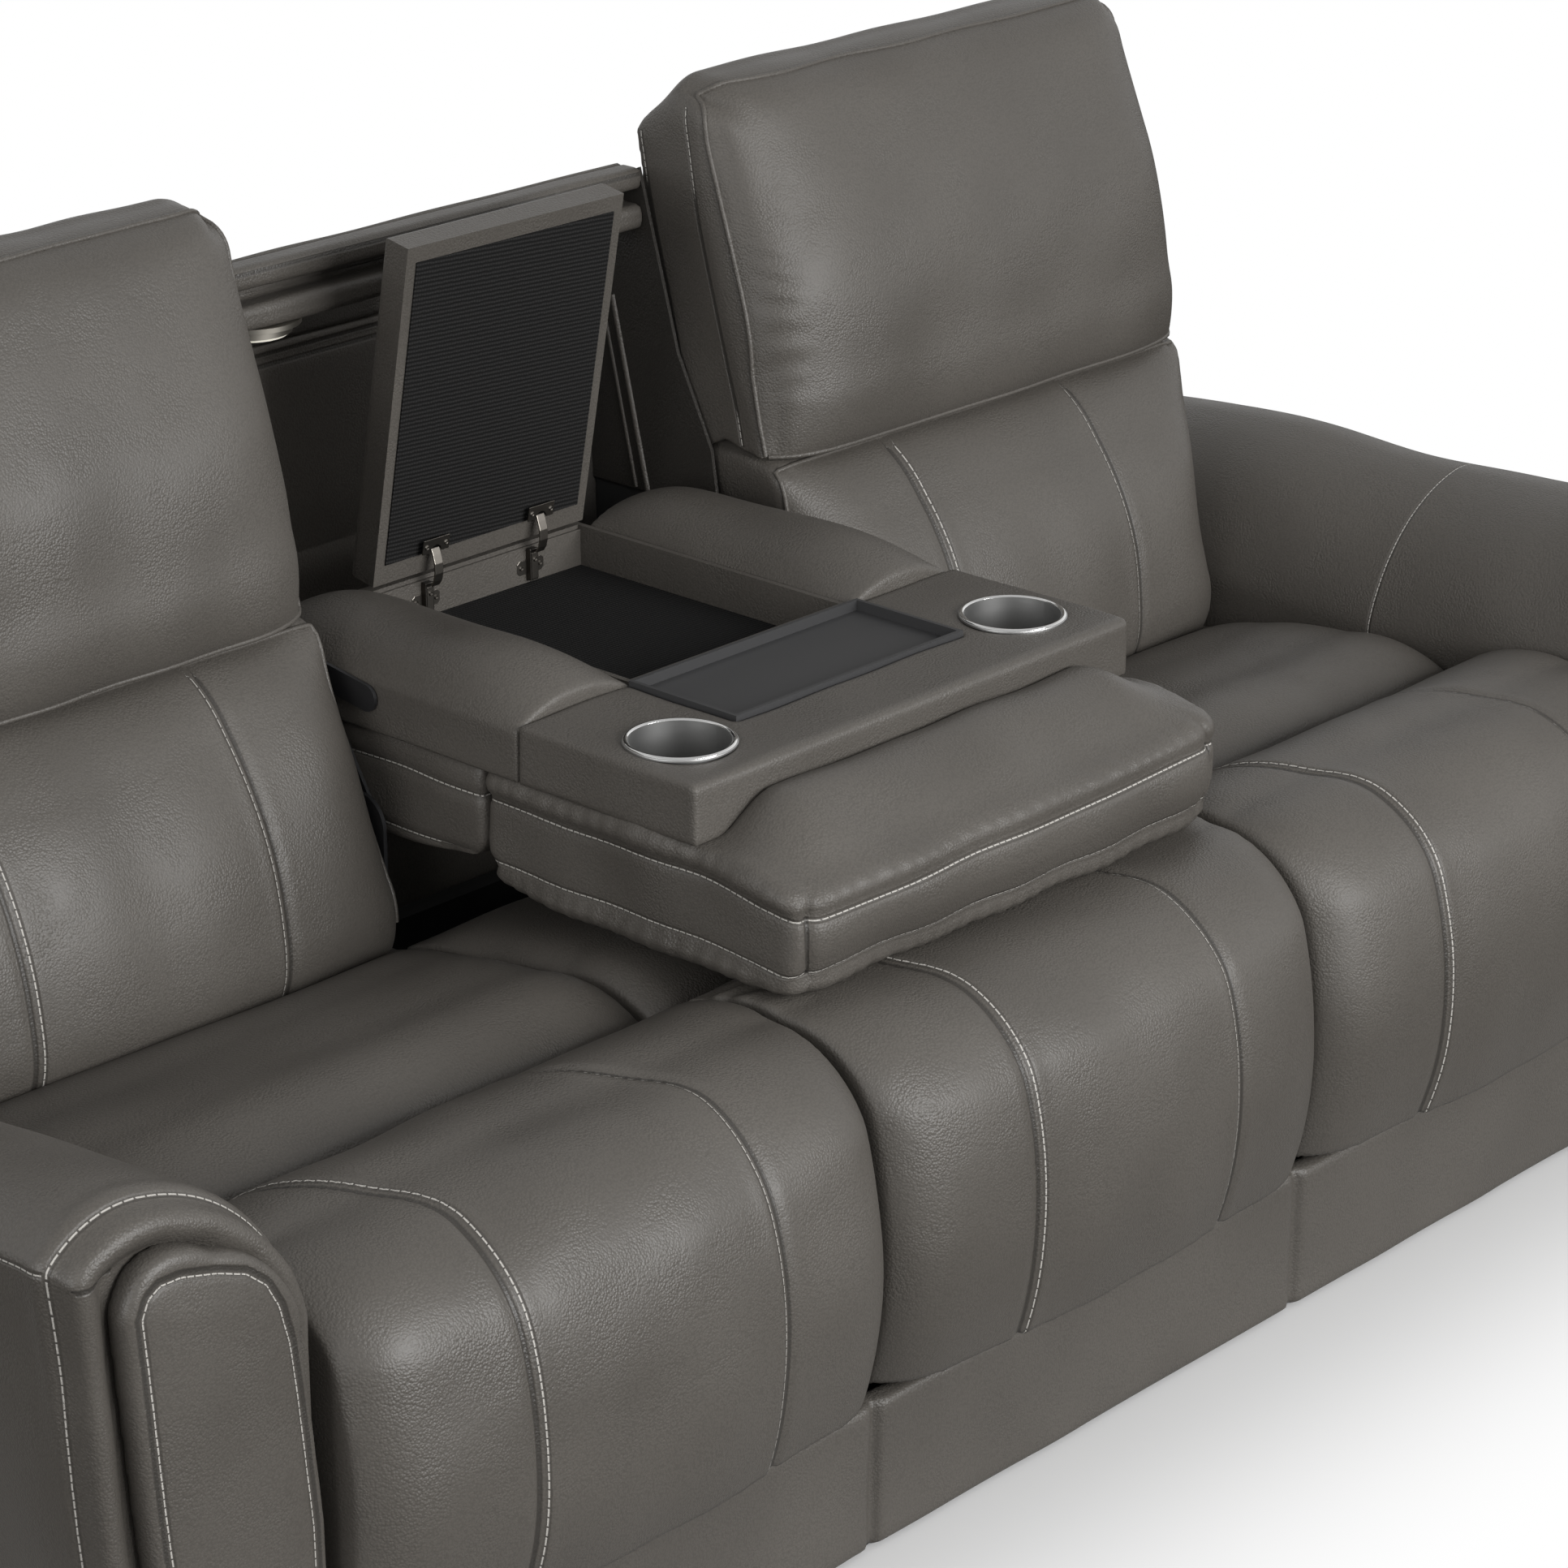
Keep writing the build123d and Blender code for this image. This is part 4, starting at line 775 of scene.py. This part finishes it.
def head_cushion():
    """Boxed cushion at the table's front; its top swells against the cup block."""
    obj = soft("table_head_cushion", "table", LEATHER_SEWN)
    co = points(obj)
    x, y = round_corner(np.abs(co[:, 0]), -co[:, 1], TABLE_HEAD_X, TABLE_HEAD_Y, TABLE_HEAD_CORNER)
    co = np.column_stack([np.sign(co[:, 0]) * x, -y, co[:, 2]])
    end = ramp(TABLE_HEAD_X - np.abs(co[:, 0]), 0.012, 0.085)
    rise = ramp(co[:, 2], 0.565, 0.60) * ramp(-co[:, 1], 0.266, 0.274) * (1 - ramp(-co[:, 1], 0.285, 0.385))
    co[:, 2] += TABLE_HEAD_RISE * rise * end * (1 + 0.05 * np.sin(co[:, 0] * 31 + 1.0))
    co[:, 2] -= TABLE_HEAD_DROP * (1 - ramp(co[:, 2], 0.486, 0.522))
    place_points(obj, co)
    # Two seams run round the border, a little lower to the front; the leather wrinkles beside them.
    n = normals(obj)
    upright = 1 - ramp(np.abs(n[:, 2]), 0.45, 0.8)
    drop = 0.012 * ramp(-co[:, 1], 0.25, 0.40) + 0.0016 * waves(co, 0.2, 80)
    upper = co[:, 2] - (TABLE_HEAD_SEAMS[0] - drop)
    lower = co[:, 2] - (TABLE_HEAD_SEAMS[1] - 0.6 * drop)
    run = co[:, 0] + co[:, 1]
    puff = bell(upper - 0.016, 0.012) + bell(lower + 0.016, 0.012)
    wrinkle = np.sin(run * 2 * math.pi / WRINKLE_LENGTH + 2.5 * waves(co, 0.09, 81)) * puff
    mitre = np.abs(co[:, 0]) - (-co[:, 1] - TABLE_HEAD_Y + TABLE_HEAD_X)
    groove = bell(upper - 0.003, 0.005) + bell(lower + 0.003, 0.005)
    amount = WRINKLE_RISE * wrinkle + 0.0020 * waves(co, 0.13, 82) + PUFF_RISE * puff
    amount -= GROOVE * upright * groove + 0.0012 * bell(mitre, 0.0025) * upright
    push(obj, amount)
    band = (upper < 0.004) & (lower > -0.004)
    # The mitre line at the corners has no thread: a bump dip darkened as painted shade.
    sewn(obj, [(only(upper, upright), run, 1.0), (only(lower, upright), run, 1.0),
               (only(mitre, upright * band), run, 0.0)])
    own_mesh(obj)


def lumbar_cushion():
    """Boxed cushion of the folded-down back, with two seams round its border."""
    obj = soft("table_lumbar_cushion", "table", LEATHER_SEWN)
    co = points(obj)
    upright = 1 - ramp(np.abs(normals(obj)[:, 2]), 0.45, 0.8)
    upper, lower = [co[:, 2] - seam for seam in TABLE_LUMBAR_SEAMS]
    push(obj, 0.002 * waves(co, 0.12, 91) - 0.003 * upright * (bell(upper, 0.004) + bell(lower, 0.004)))
    run = co[:, 0] + co[:, 1]
    sewn(obj, [(only(upper, upright), run, 1.0), (only(lower, upright), run, 1.0)])


def cup_rims():
    """Polished rolled rims on the cup holders."""
    x, y, z = CUP_CENTRE
    for side, sign in SIDES:
        turn = np.linspace(0, 2 * math.pi, 72, endpoint=False)
        ring = [(sign * x + CUP_RIM_RADIUS * math.cos(a), y + CUP_RIM_RADIUS * math.sin(a), z) for a in turn]
        rim = tube(side + "_cup_rim", ring, CUP_RIM_THICK, "table", POLISHED, closed=True)


# Lid and its hinges. On the lid, points are (across, up, out of its inner face) from the hinge's foot.

HINGE_X = 0.07
HINGE_FOOT = (0.2935, 0.658)
LID_OPEN = math.radians(79.4)
LID_UP = Vector((0, -math.cos(LID_OPEN), math.sin(LID_OPEN)))
LID_OUT = Vector((0, -math.sin(LID_OPEN), -math.cos(LID_OPEN)))
LINER_WIDER = 1.113
LINER_TALLER = 0.044
LINER_RISE = 0.0025
NOTCH_RADIUS = 0.0075
PLATE_HALF = 0.017
PLATE_HEIGHT = 0.015
PLATE_FOOT = 0.026
PLATE_OFF = 0.0008
PLATE_THICK = 0.0014
PLATE_SCREW = (0.0125, 0.0335, 0.0022)
SCREW_FOOT = 0.0027
SCREW_TOP = 0.0017
SCREW_HEIGHT = 0.0014
SCREW_SEAT = 0.0006
STRAP_BOW = ((0.030, 0.001), (0.024, 0.0045), (0.016, 0.0085), (0.006, 0.0105), (-0.002, 0.0100),
             (-0.0085, 0.0072))
STRAP_HALF = 0.0052
STRAP_THICK = 0.0022
BAR_Z = (0.6495, 0.617)
BAR_HALF = 0.0055
BAR_DEEP = 0.0078
BAR_FACE_Z = (0.6455, 0.619)
BAR_FACE_HALF = 0.0040
BAR_FACE_THICK = 0.0008
BAR_SCREW_Z = 0.639
WING_BACK = 0.0058
WING_THICK = 0.002
WING_SCREW = (0.0128, 0.6305)
WING_OUTLINE = ((-0.018, 0.626), (-0.0145, 0.623), (0.0145, 0.623), (0.018, 0.626), (0.018, 0.635),
                (0.0145, 0.638), (-0.0145, 0.638), (-0.018, 0.635))
SCREW_ENDS = (("_a", -1), ("_b", 1))
TO_FRONT = (0, -1, 0)


def screw(name, place, out, body):
    """Small screw head with a round recess."""
    data = bpy.data.meshes.new(name)
    work = bmesh.new()
    bmesh.ops.create_cone(work, cap_ends=True, segments=20, radius1=SCREW_FOOT, radius2=SCREW_TOP,
                          depth=SCREW_HEIGHT)
    top = max(work.faces, key=lambda face: face.calc_center_median().z)
    bmesh.ops.inset_individual(work, faces=[top], thickness=0.0006, depth=-0.0007)
    work.to_mesh(data)
    work.free()
    obj = new_object(name, data, body, HINGE_METAL, "nickel")
    obj.data.transform(Vector(out).to_track_quat("Z", "Y").to_matrix().to_4x4())
    obj.data.transform(Matrix.Translation(Vector(place) + Vector(out) * SCREW_SEAT))


def upright_face(x, half, y, heights):
    """Corners of an upright rectangle in the XZ plane; heights are its top and its foot."""
    top, foot = heights
    return [(x - half, y, top), (x + half, y, top), (x + half, y, foot), (x - half, y, foot)]


def lid_hinge(x):
    """Concealed hinge: a notched plate and a bowed strap on the lid, a bar with two wings on the box."""
    tag = "left_hinge" if x < 0 else "right_hinge"
    across = Vector((1, 0, 0))
    foot = Vector((x, *HINGE_FOOT))

    def on_lid(a, b, c=0.0):
        return foot + across * a + LID_UP * b + LID_OUT * c
    notch = [(NOTCH_RADIUS * math.cos(t), NOTCH_RADIUS * math.sin(t)) for t in np.linspace(math.pi, 0, 9)]
    outline = [(-PLATE_HALF, 0.0), *notch, (PLATE_HALF, 0.0)]
    outline += [(PLATE_HALF, PLATE_HEIGHT), (-PLATE_HALF, PLATE_HEIGHT)]
    plate = [on_lid(a, PLATE_FOOT + b, PLATE_OFF) for a, b in outline]
    slab(tag + "_lid_plate", plate, LID_OUT * PLATE_THICK, "lid", HINGE_METAL, "nickel", bevel=0.0003)
    a, b, c = PLATE_SCREW
    for end, way in SCREW_ENDS:
        screw(tag + "_lid_screw" + end, on_lid(way * a, b, c), LID_OUT, "lid")
    bow = [on_lid(0, b, c) for b, c in STRAP_BOW]
    inside = [point - LID_OUT * STRAP_THICK for point in bow]
    profile = [point - across * STRAP_HALF for point in bow + inside[::-1]]
    width = across * (2 * STRAP_HALF)
    strap = slab(tag + "_strap", profile, width, "lid", HINGE_METAL, "nickel", bevel=0.0005)
    base_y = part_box("hinge_bases")[0][1]
    bar = upright_face(x, BAR_HALF, base_y, BAR_Z)
    bar_piece = slab(tag + "_bar", bar, (0, BAR_DEEP, 0), "table", HINGE_DARK, "nickel", bevel=0.0008)
    face = upright_face(x, BAR_FACE_HALF, base_y, BAR_FACE_Z)
    slab(tag + "_bar_face", face, (0, -BAR_FACE_THICK, 0), "table", HINGE_METAL, "nickel", bevel=0.0003)
    wing_y = base_y + WING_BACK
    wings = [(x + a, wing_y, z) for a, z in WING_OUTLINE]
    slab(tag + "_wings", wings, (0, WING_THICK, 0), "table", HINGE_METAL, "nickel", bevel=0.0004)
    a, z = WING_SCREW
    for end, way in SCREW_ENDS:
        screw(tag + "_wing_screw" + end, (x + way * a, wing_y, z), TO_FRONT, "table")
    screw(tag + "_bar_screw", (x, base_y - BAR_FACE_THICK, BAR_SCREW_Z), TO_FRONT, "table")
    if x > 0:
        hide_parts("hinge_bases")
        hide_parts("hinge_leaves")


def lid_cover():
    """Lid with straight, lightly rounded edges, and its liner drawn out towards them."""
    panel = new_object("lid_panel_cover", nodes["lid_panel"].data.copy(), "lid", LEATHER_PLAIN, "leather")
    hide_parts("lid_panel")
    liner = new_object("lid_liner_cover", nodes["lid_liner"].data.copy(), "lid", LINER_CLOTH, "ribbed_fabric")
    co = points(liner)
    up = np.array(LID_UP)
    height = (co - (co.min(axis=0) + co.max(axis=0)) / 2) @ up
    co[:, 0] *= LINER_WIDER
    co += np.outer(height * LINER_TALLER + LINER_RISE, up)
    place_points(liner, co)
    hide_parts("lid_liner")


def simple_soft(node, body, seed, voxel=0.004, lift=0.0012):
    """Plain cover that undulates a little."""
    obj = soft(node, body, LEATHER_PLAIN, voxel=voxel)
    push(obj, lift * waves(points(obj), 0.15, seed))


# Recess behind the table. LINING is a side wall's dark lining, as (y, z).

STILE_FRONT_TOP = 0.978
STILE_REAR_TOP = 0.940
STILE_FRONT_Y = (0.272, 0.262)
LINING = ((0.325, 0.50), (0.44, 0.50), (0.44, 0.642), (0.288, 0.642))
LINING_X = 0.2980
WELT_X = 0.2955
WELT_ENDS = ((0.4087, 0.840), (0.3610, 0.642))
WELTS = ((0.0, 0.0032), (0.0165, 0.0022))
RAIL_DROP = 0.012
RAIL_CREASE_Z = 0.973
PUCK_CENTRE = (0.184, 0.408, 0.916)
PUCK_SCALE = (1.1, 1.1, 1.6)
PANEL_CREASES = (0.840, 0.829)


def recess_sides():
    """The recess's side walls, in leather darkened to 0.4 as painted shade, lower at the rear top corner,
    with sewn-on welts and a lining under them.
    """
    # Painted shade: the side walls wear leather darkened to 0.4 to stand for the shade in the recess.
    obj = new_object("bay_stiles_cover", nodes["bay_stiles"].data.copy(), "base", LEATHER_SHADED, "leather")
    co = points(obj)
    top = np.where(co[:, 1] > 0.42, STILE_REAR_TOP, STILE_FRONT_TOP)
    co[:, 2] = np.where(co[:, 2] > 0.98, top, co[:, 2])
    low_front = (co[:, 1] < 0.285) & (co[:, 2] > 0.6)
    co[:, 1] = np.where(low_front, np.where(co[:, 2] > 0.67, *STILE_FRONT_Y), co[:, 1])
    place_points(obj, co)
    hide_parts("bay_stiles")
    for side, sign in SIDES:
        lining = [(sign * LINING_X, y, z) for y, z in LINING]
        slab(side + "_recess_lining", lining, (sign * 0.0012, 0, 0), "base", DARK_CLOTH, "leather")
        for index, (back, radius) in enumerate(WELTS):
            ends = [(sign * WELT_X, y + back, z) for y, z in WELT_ENDS]
            tube(side + "_recess_welt_" + str(index), ends, radius, "base")


def header(node, seed):
    """Padded bars across the recess; the upper rail has a crease of painted shade and sits a little lower
    than its solid.
    """
    obj = soft(node, "base", LEATHER_SEWN, voxel=0.0028, smooth=2)
    co = points(obj)
    co[:, 2] -= RAIL_DROP * ramp(co[:, 2], 0.945, 0.955)
    place_points(obj, co)
    front = ramp(-normals(obj)[:, 1], 0.4, 0.8)
    push(obj, 0.0005 * waves(co, 0.15, seed))
    # The crease is a bump dip and a line of painted shade, with no thread.
    sewn(obj, [(only(points(obj)[:, 2] - RAIL_CREASE_Z, front), co[:, 0], 0.0)])


def puck_lights():
    """Puck lights under the header, a little wider and deeper than their solids."""
    for node, material, slot in (("light_housings", SATIN_NICKEL, "nickel"), ("light_lenses", LENS, "lens")):
        obj = new_object(node + "_cover", nodes[node].data.copy(), "base", material, slot)
        co = points(obj)
        middle = np.tile(PUCK_CENTRE, (len(co), 1))
        middle[:, 0] *= np.sign(co[:, 0])
        place_points(obj, middle + (co - middle) * np.array(PUCK_SCALE))
        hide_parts(node)


def rear_panel():
    """Panel behind the table, in leather lightened 1.8 times as painted light, with a double crease across
    it, dented and darkened as painted shade.
    """
    # Painted light: this leather is lightened 1.8 times to stand for light reaching into the recess.
    obj = soft("rear_panel", "base", LEATHER_PANEL_PAINTED_LIGHT, voxel=0.004)
    co = points(obj)
    front = ramp(-normals(obj)[:, 1], 0.5, 0.9)
    push(obj, 0.0008 * waves(co, 0.2, 64) - 0.002 * bell(co[:, 2] - 0.835, 0.006) * front)
    sewn(obj, [(only(co[:, 2] - z, front), co[:, 0], 0.0) for z in PANEL_CREASES])


for seed, (side, x) in enumerate(SEAT_X.items()):
    if side == "middle":
        front_roll("middle_front_roll", "base", x, 10)
        seat_cushion("middle_seat_cushion", "base", x, 20)
    else:
        front_roll(side + "_footrest_pad", side + "_footrest", x, 11 + seed)
        seat_cushion(side + "_seat_cushion", side + "_seat", x, 21 + seed)
        lumbar(side + "_back_cushion", side + "_back", x, math.copysign(1, x), 31 + seed)
        headrest(side + "_headrest", side + "_headrest", x, math.copysign(1, x), 41 + seed)
        simple_soft(side + "_back_shell", side + "_back", 51 + seed)
for side, sign in SIDES:
    arm(side, sign)
arm_pads()
skirts()
head_cushion()
lumbar_cushion()
simple_soft("cup_block", "table", 61, voxel=0.003, lift=0.0008)
simple_soft("armrest_pads", "table", 62)
lid_cover()
rear_panel()
recess_sides()
header("rear_top_rail", 65)
header("header_bar", 66)
puck_lights()
cup_rims()
for x in (-HINGE_X, HINGE_X):
    lid_hinge(x)

FINISH = {
    "storage_box": LEATHER_PLAIN, "front_base_rail": DARK_CLOTH, "rear_base_rail": DARK_CLOTH,
    "middle_seat_deck": DARK_CLOTH, "table_board": DARK_CLOTH, "arm_frames": WOOD,
    "bay_dividers": BLACK_STEEL, "mechanism_tracks": BLACK_STEEL, "pivot_arms": BLACK_STEEL,
    "recline_actuators": ZINC, "cup_holders": CUP_STEEL, "floor_glides": PLASTIC,
    "power_inlet": PLASTIC, "switch_plates": PLASTIC, "tray": TRAY_PLASTIC, "well_mat": MAT_CLOTH,
}
SIDE_FINISH = {
    "_recline_rocker": NICKEL, "_headrest_rocker": NICKEL, "_back_frame": LEATHER_PLAIN,
    "_headrest_frame": DARK_CLOTH, "_footrest_board": WOOD, "_seat_frame": BLACK_STEEL,
    "_footrest_links": BLACK_STEEL,
}
for side, _ in SIDES:
    FINISH.update({side + part: material for part, material in SIDE_FINISH.items()})
for node, material in FINISH.items():
    wear(nodes[node].data, material)


# Stage: floor, light and camera

FLOOR_REACH = 30
FLOOR_CLEAR = (1.10, 0.46)
FLOOR_FADE = (0.04, 0.43)
FLOOR_LIT = (0.35, 0.35, 0.35, 1)
FLOOR_SEEN = (0.62, 0.62, 0.62, 1)
BLACK = (0, 0, 0, 1)
WHITE = (1, 1, 1, 1)
LIGHT_TARGET = (0, 0, 0.55)
CAMERA_PLACE = (-2.890, -2.7813, 2.088)
CAMERA_TARGET = (0.0531, -0.0533, 0.5)


def make_floor():
    """Grey floor close to the sofa, so that its shade shows; it fades to glowing white further out."""
    mesh = bpy.data.meshes.new("floor")
    corners = [(-1, -1), (1, -1), (1, 1), (-1, 1)]
    mesh.from_pydata([(x * FLOOR_REACH, y * FLOOR_REACH, 0) for x, y in corners], [], [(0, 1, 2, 3)])
    floor = bpy.data.objects.new("floor", mesh)
    scene.collection.objects.link(floor)
    g = Graph("floor")
    place = g.split(g.place())
    beside, before = [g.math("SUBTRACT", g.math("ABSOLUTE", place[axis]), clear)
                      for axis, clear in zip("XY", FLOOR_CLEAR)]
    glow = g.step(g.math("MAXIMUM", beside, before), *FLOOR_FADE)
    seen = g.add("ShaderNodeLightPath").outputs["Is Camera Ray"]
    near = g.mix(seen, FLOOR_LIT, FLOOR_SEEN)
    g.set(Base_Color=g.mix(glow, near, BLACK), Roughness=1.0, Specular_IOR_Level=0.0)
    g.set(Emission_Color=WHITE, Emission_Strength=g.math("MULTIPLY", glow, seen))
    mesh.materials.append(g.material)


def light_world(strength, zenith):
    """Even white light from all round, weaker overhead; the camera itself sees plain white."""
    world = bpy.data.worlds.new("studio")
    scene.world = world
    world.use_nodes = True
    tree = world.node_tree
    background = tree.nodes["Background"]
    seen = tree.nodes.new("ShaderNodeLightPath").outputs["Is Camera Ray"]
    mix = tree.nodes.new("ShaderNodeMix")
    way = tree.nodes.new("ShaderNodeSeparateXYZ")
    tree.links.new(tree.nodes.new("ShaderNodeTexCoord").outputs["Generated"], way.inputs[0])
    fade = tree.nodes.new("ShaderNodeMapRange")
    limits = {"From Min": 0.1, "From Max": 0.9, "To Min": strength, "To Max": strength * zenith}
    for key, value in limits.items():
        fade.inputs[key].default_value = value
    tree.links.new(way.outputs["Z"], fade.inputs["Value"])
    tree.links.new(fade.outputs[0], mix.inputs[2])
    mix.inputs[3].default_value = 1.0
    tree.links.new(seen, mix.inputs[0])
    tree.links.new(mix.outputs[0], background.inputs["Strength"])
    background.inputs["Color"].default_value = WHITE


def aim(obj, place, target):
    """Puts a lamp or camera at a place and turns it to a target."""
    obj.location = place
    obj.rotation_euler = (Vector(target) - Vector(place)).to_track_quat("-Z", "Y").to_euler()


def area_light(name, place, size, power):
    data = bpy.data.lights.new(name, "AREA")
    data.shape = "RECTANGLE"
    data.size, data.size_y = size
    data.energy = power
    lamp = bpy.data.objects.new(name, data)
    scene.collection.objects.link(lamp)
    aim(lamp, place, LIGHT_TARGET)


make_floor()
light_world(1.02, 0.5)
area_light("front_key", (0.3, -4.6, 2.1), (3.6, 1.6), 280)
area_light("left_fill", (-4.6, -0.6, 1.7), (2.4, 1.6), 70)

camera = bpy.data.objects.new("camera", bpy.data.cameras.new("camera"))
scene.collection.objects.link(camera)
aim(camera, CAMERA_PLACE, CAMERA_TARGET)
camera.data.sensor_width = 36.0
camera.data.lens = 105.15
camera.data.clip_end = 100.0
scene.camera = camera
scene.view_settings.view_transform = "Standard"
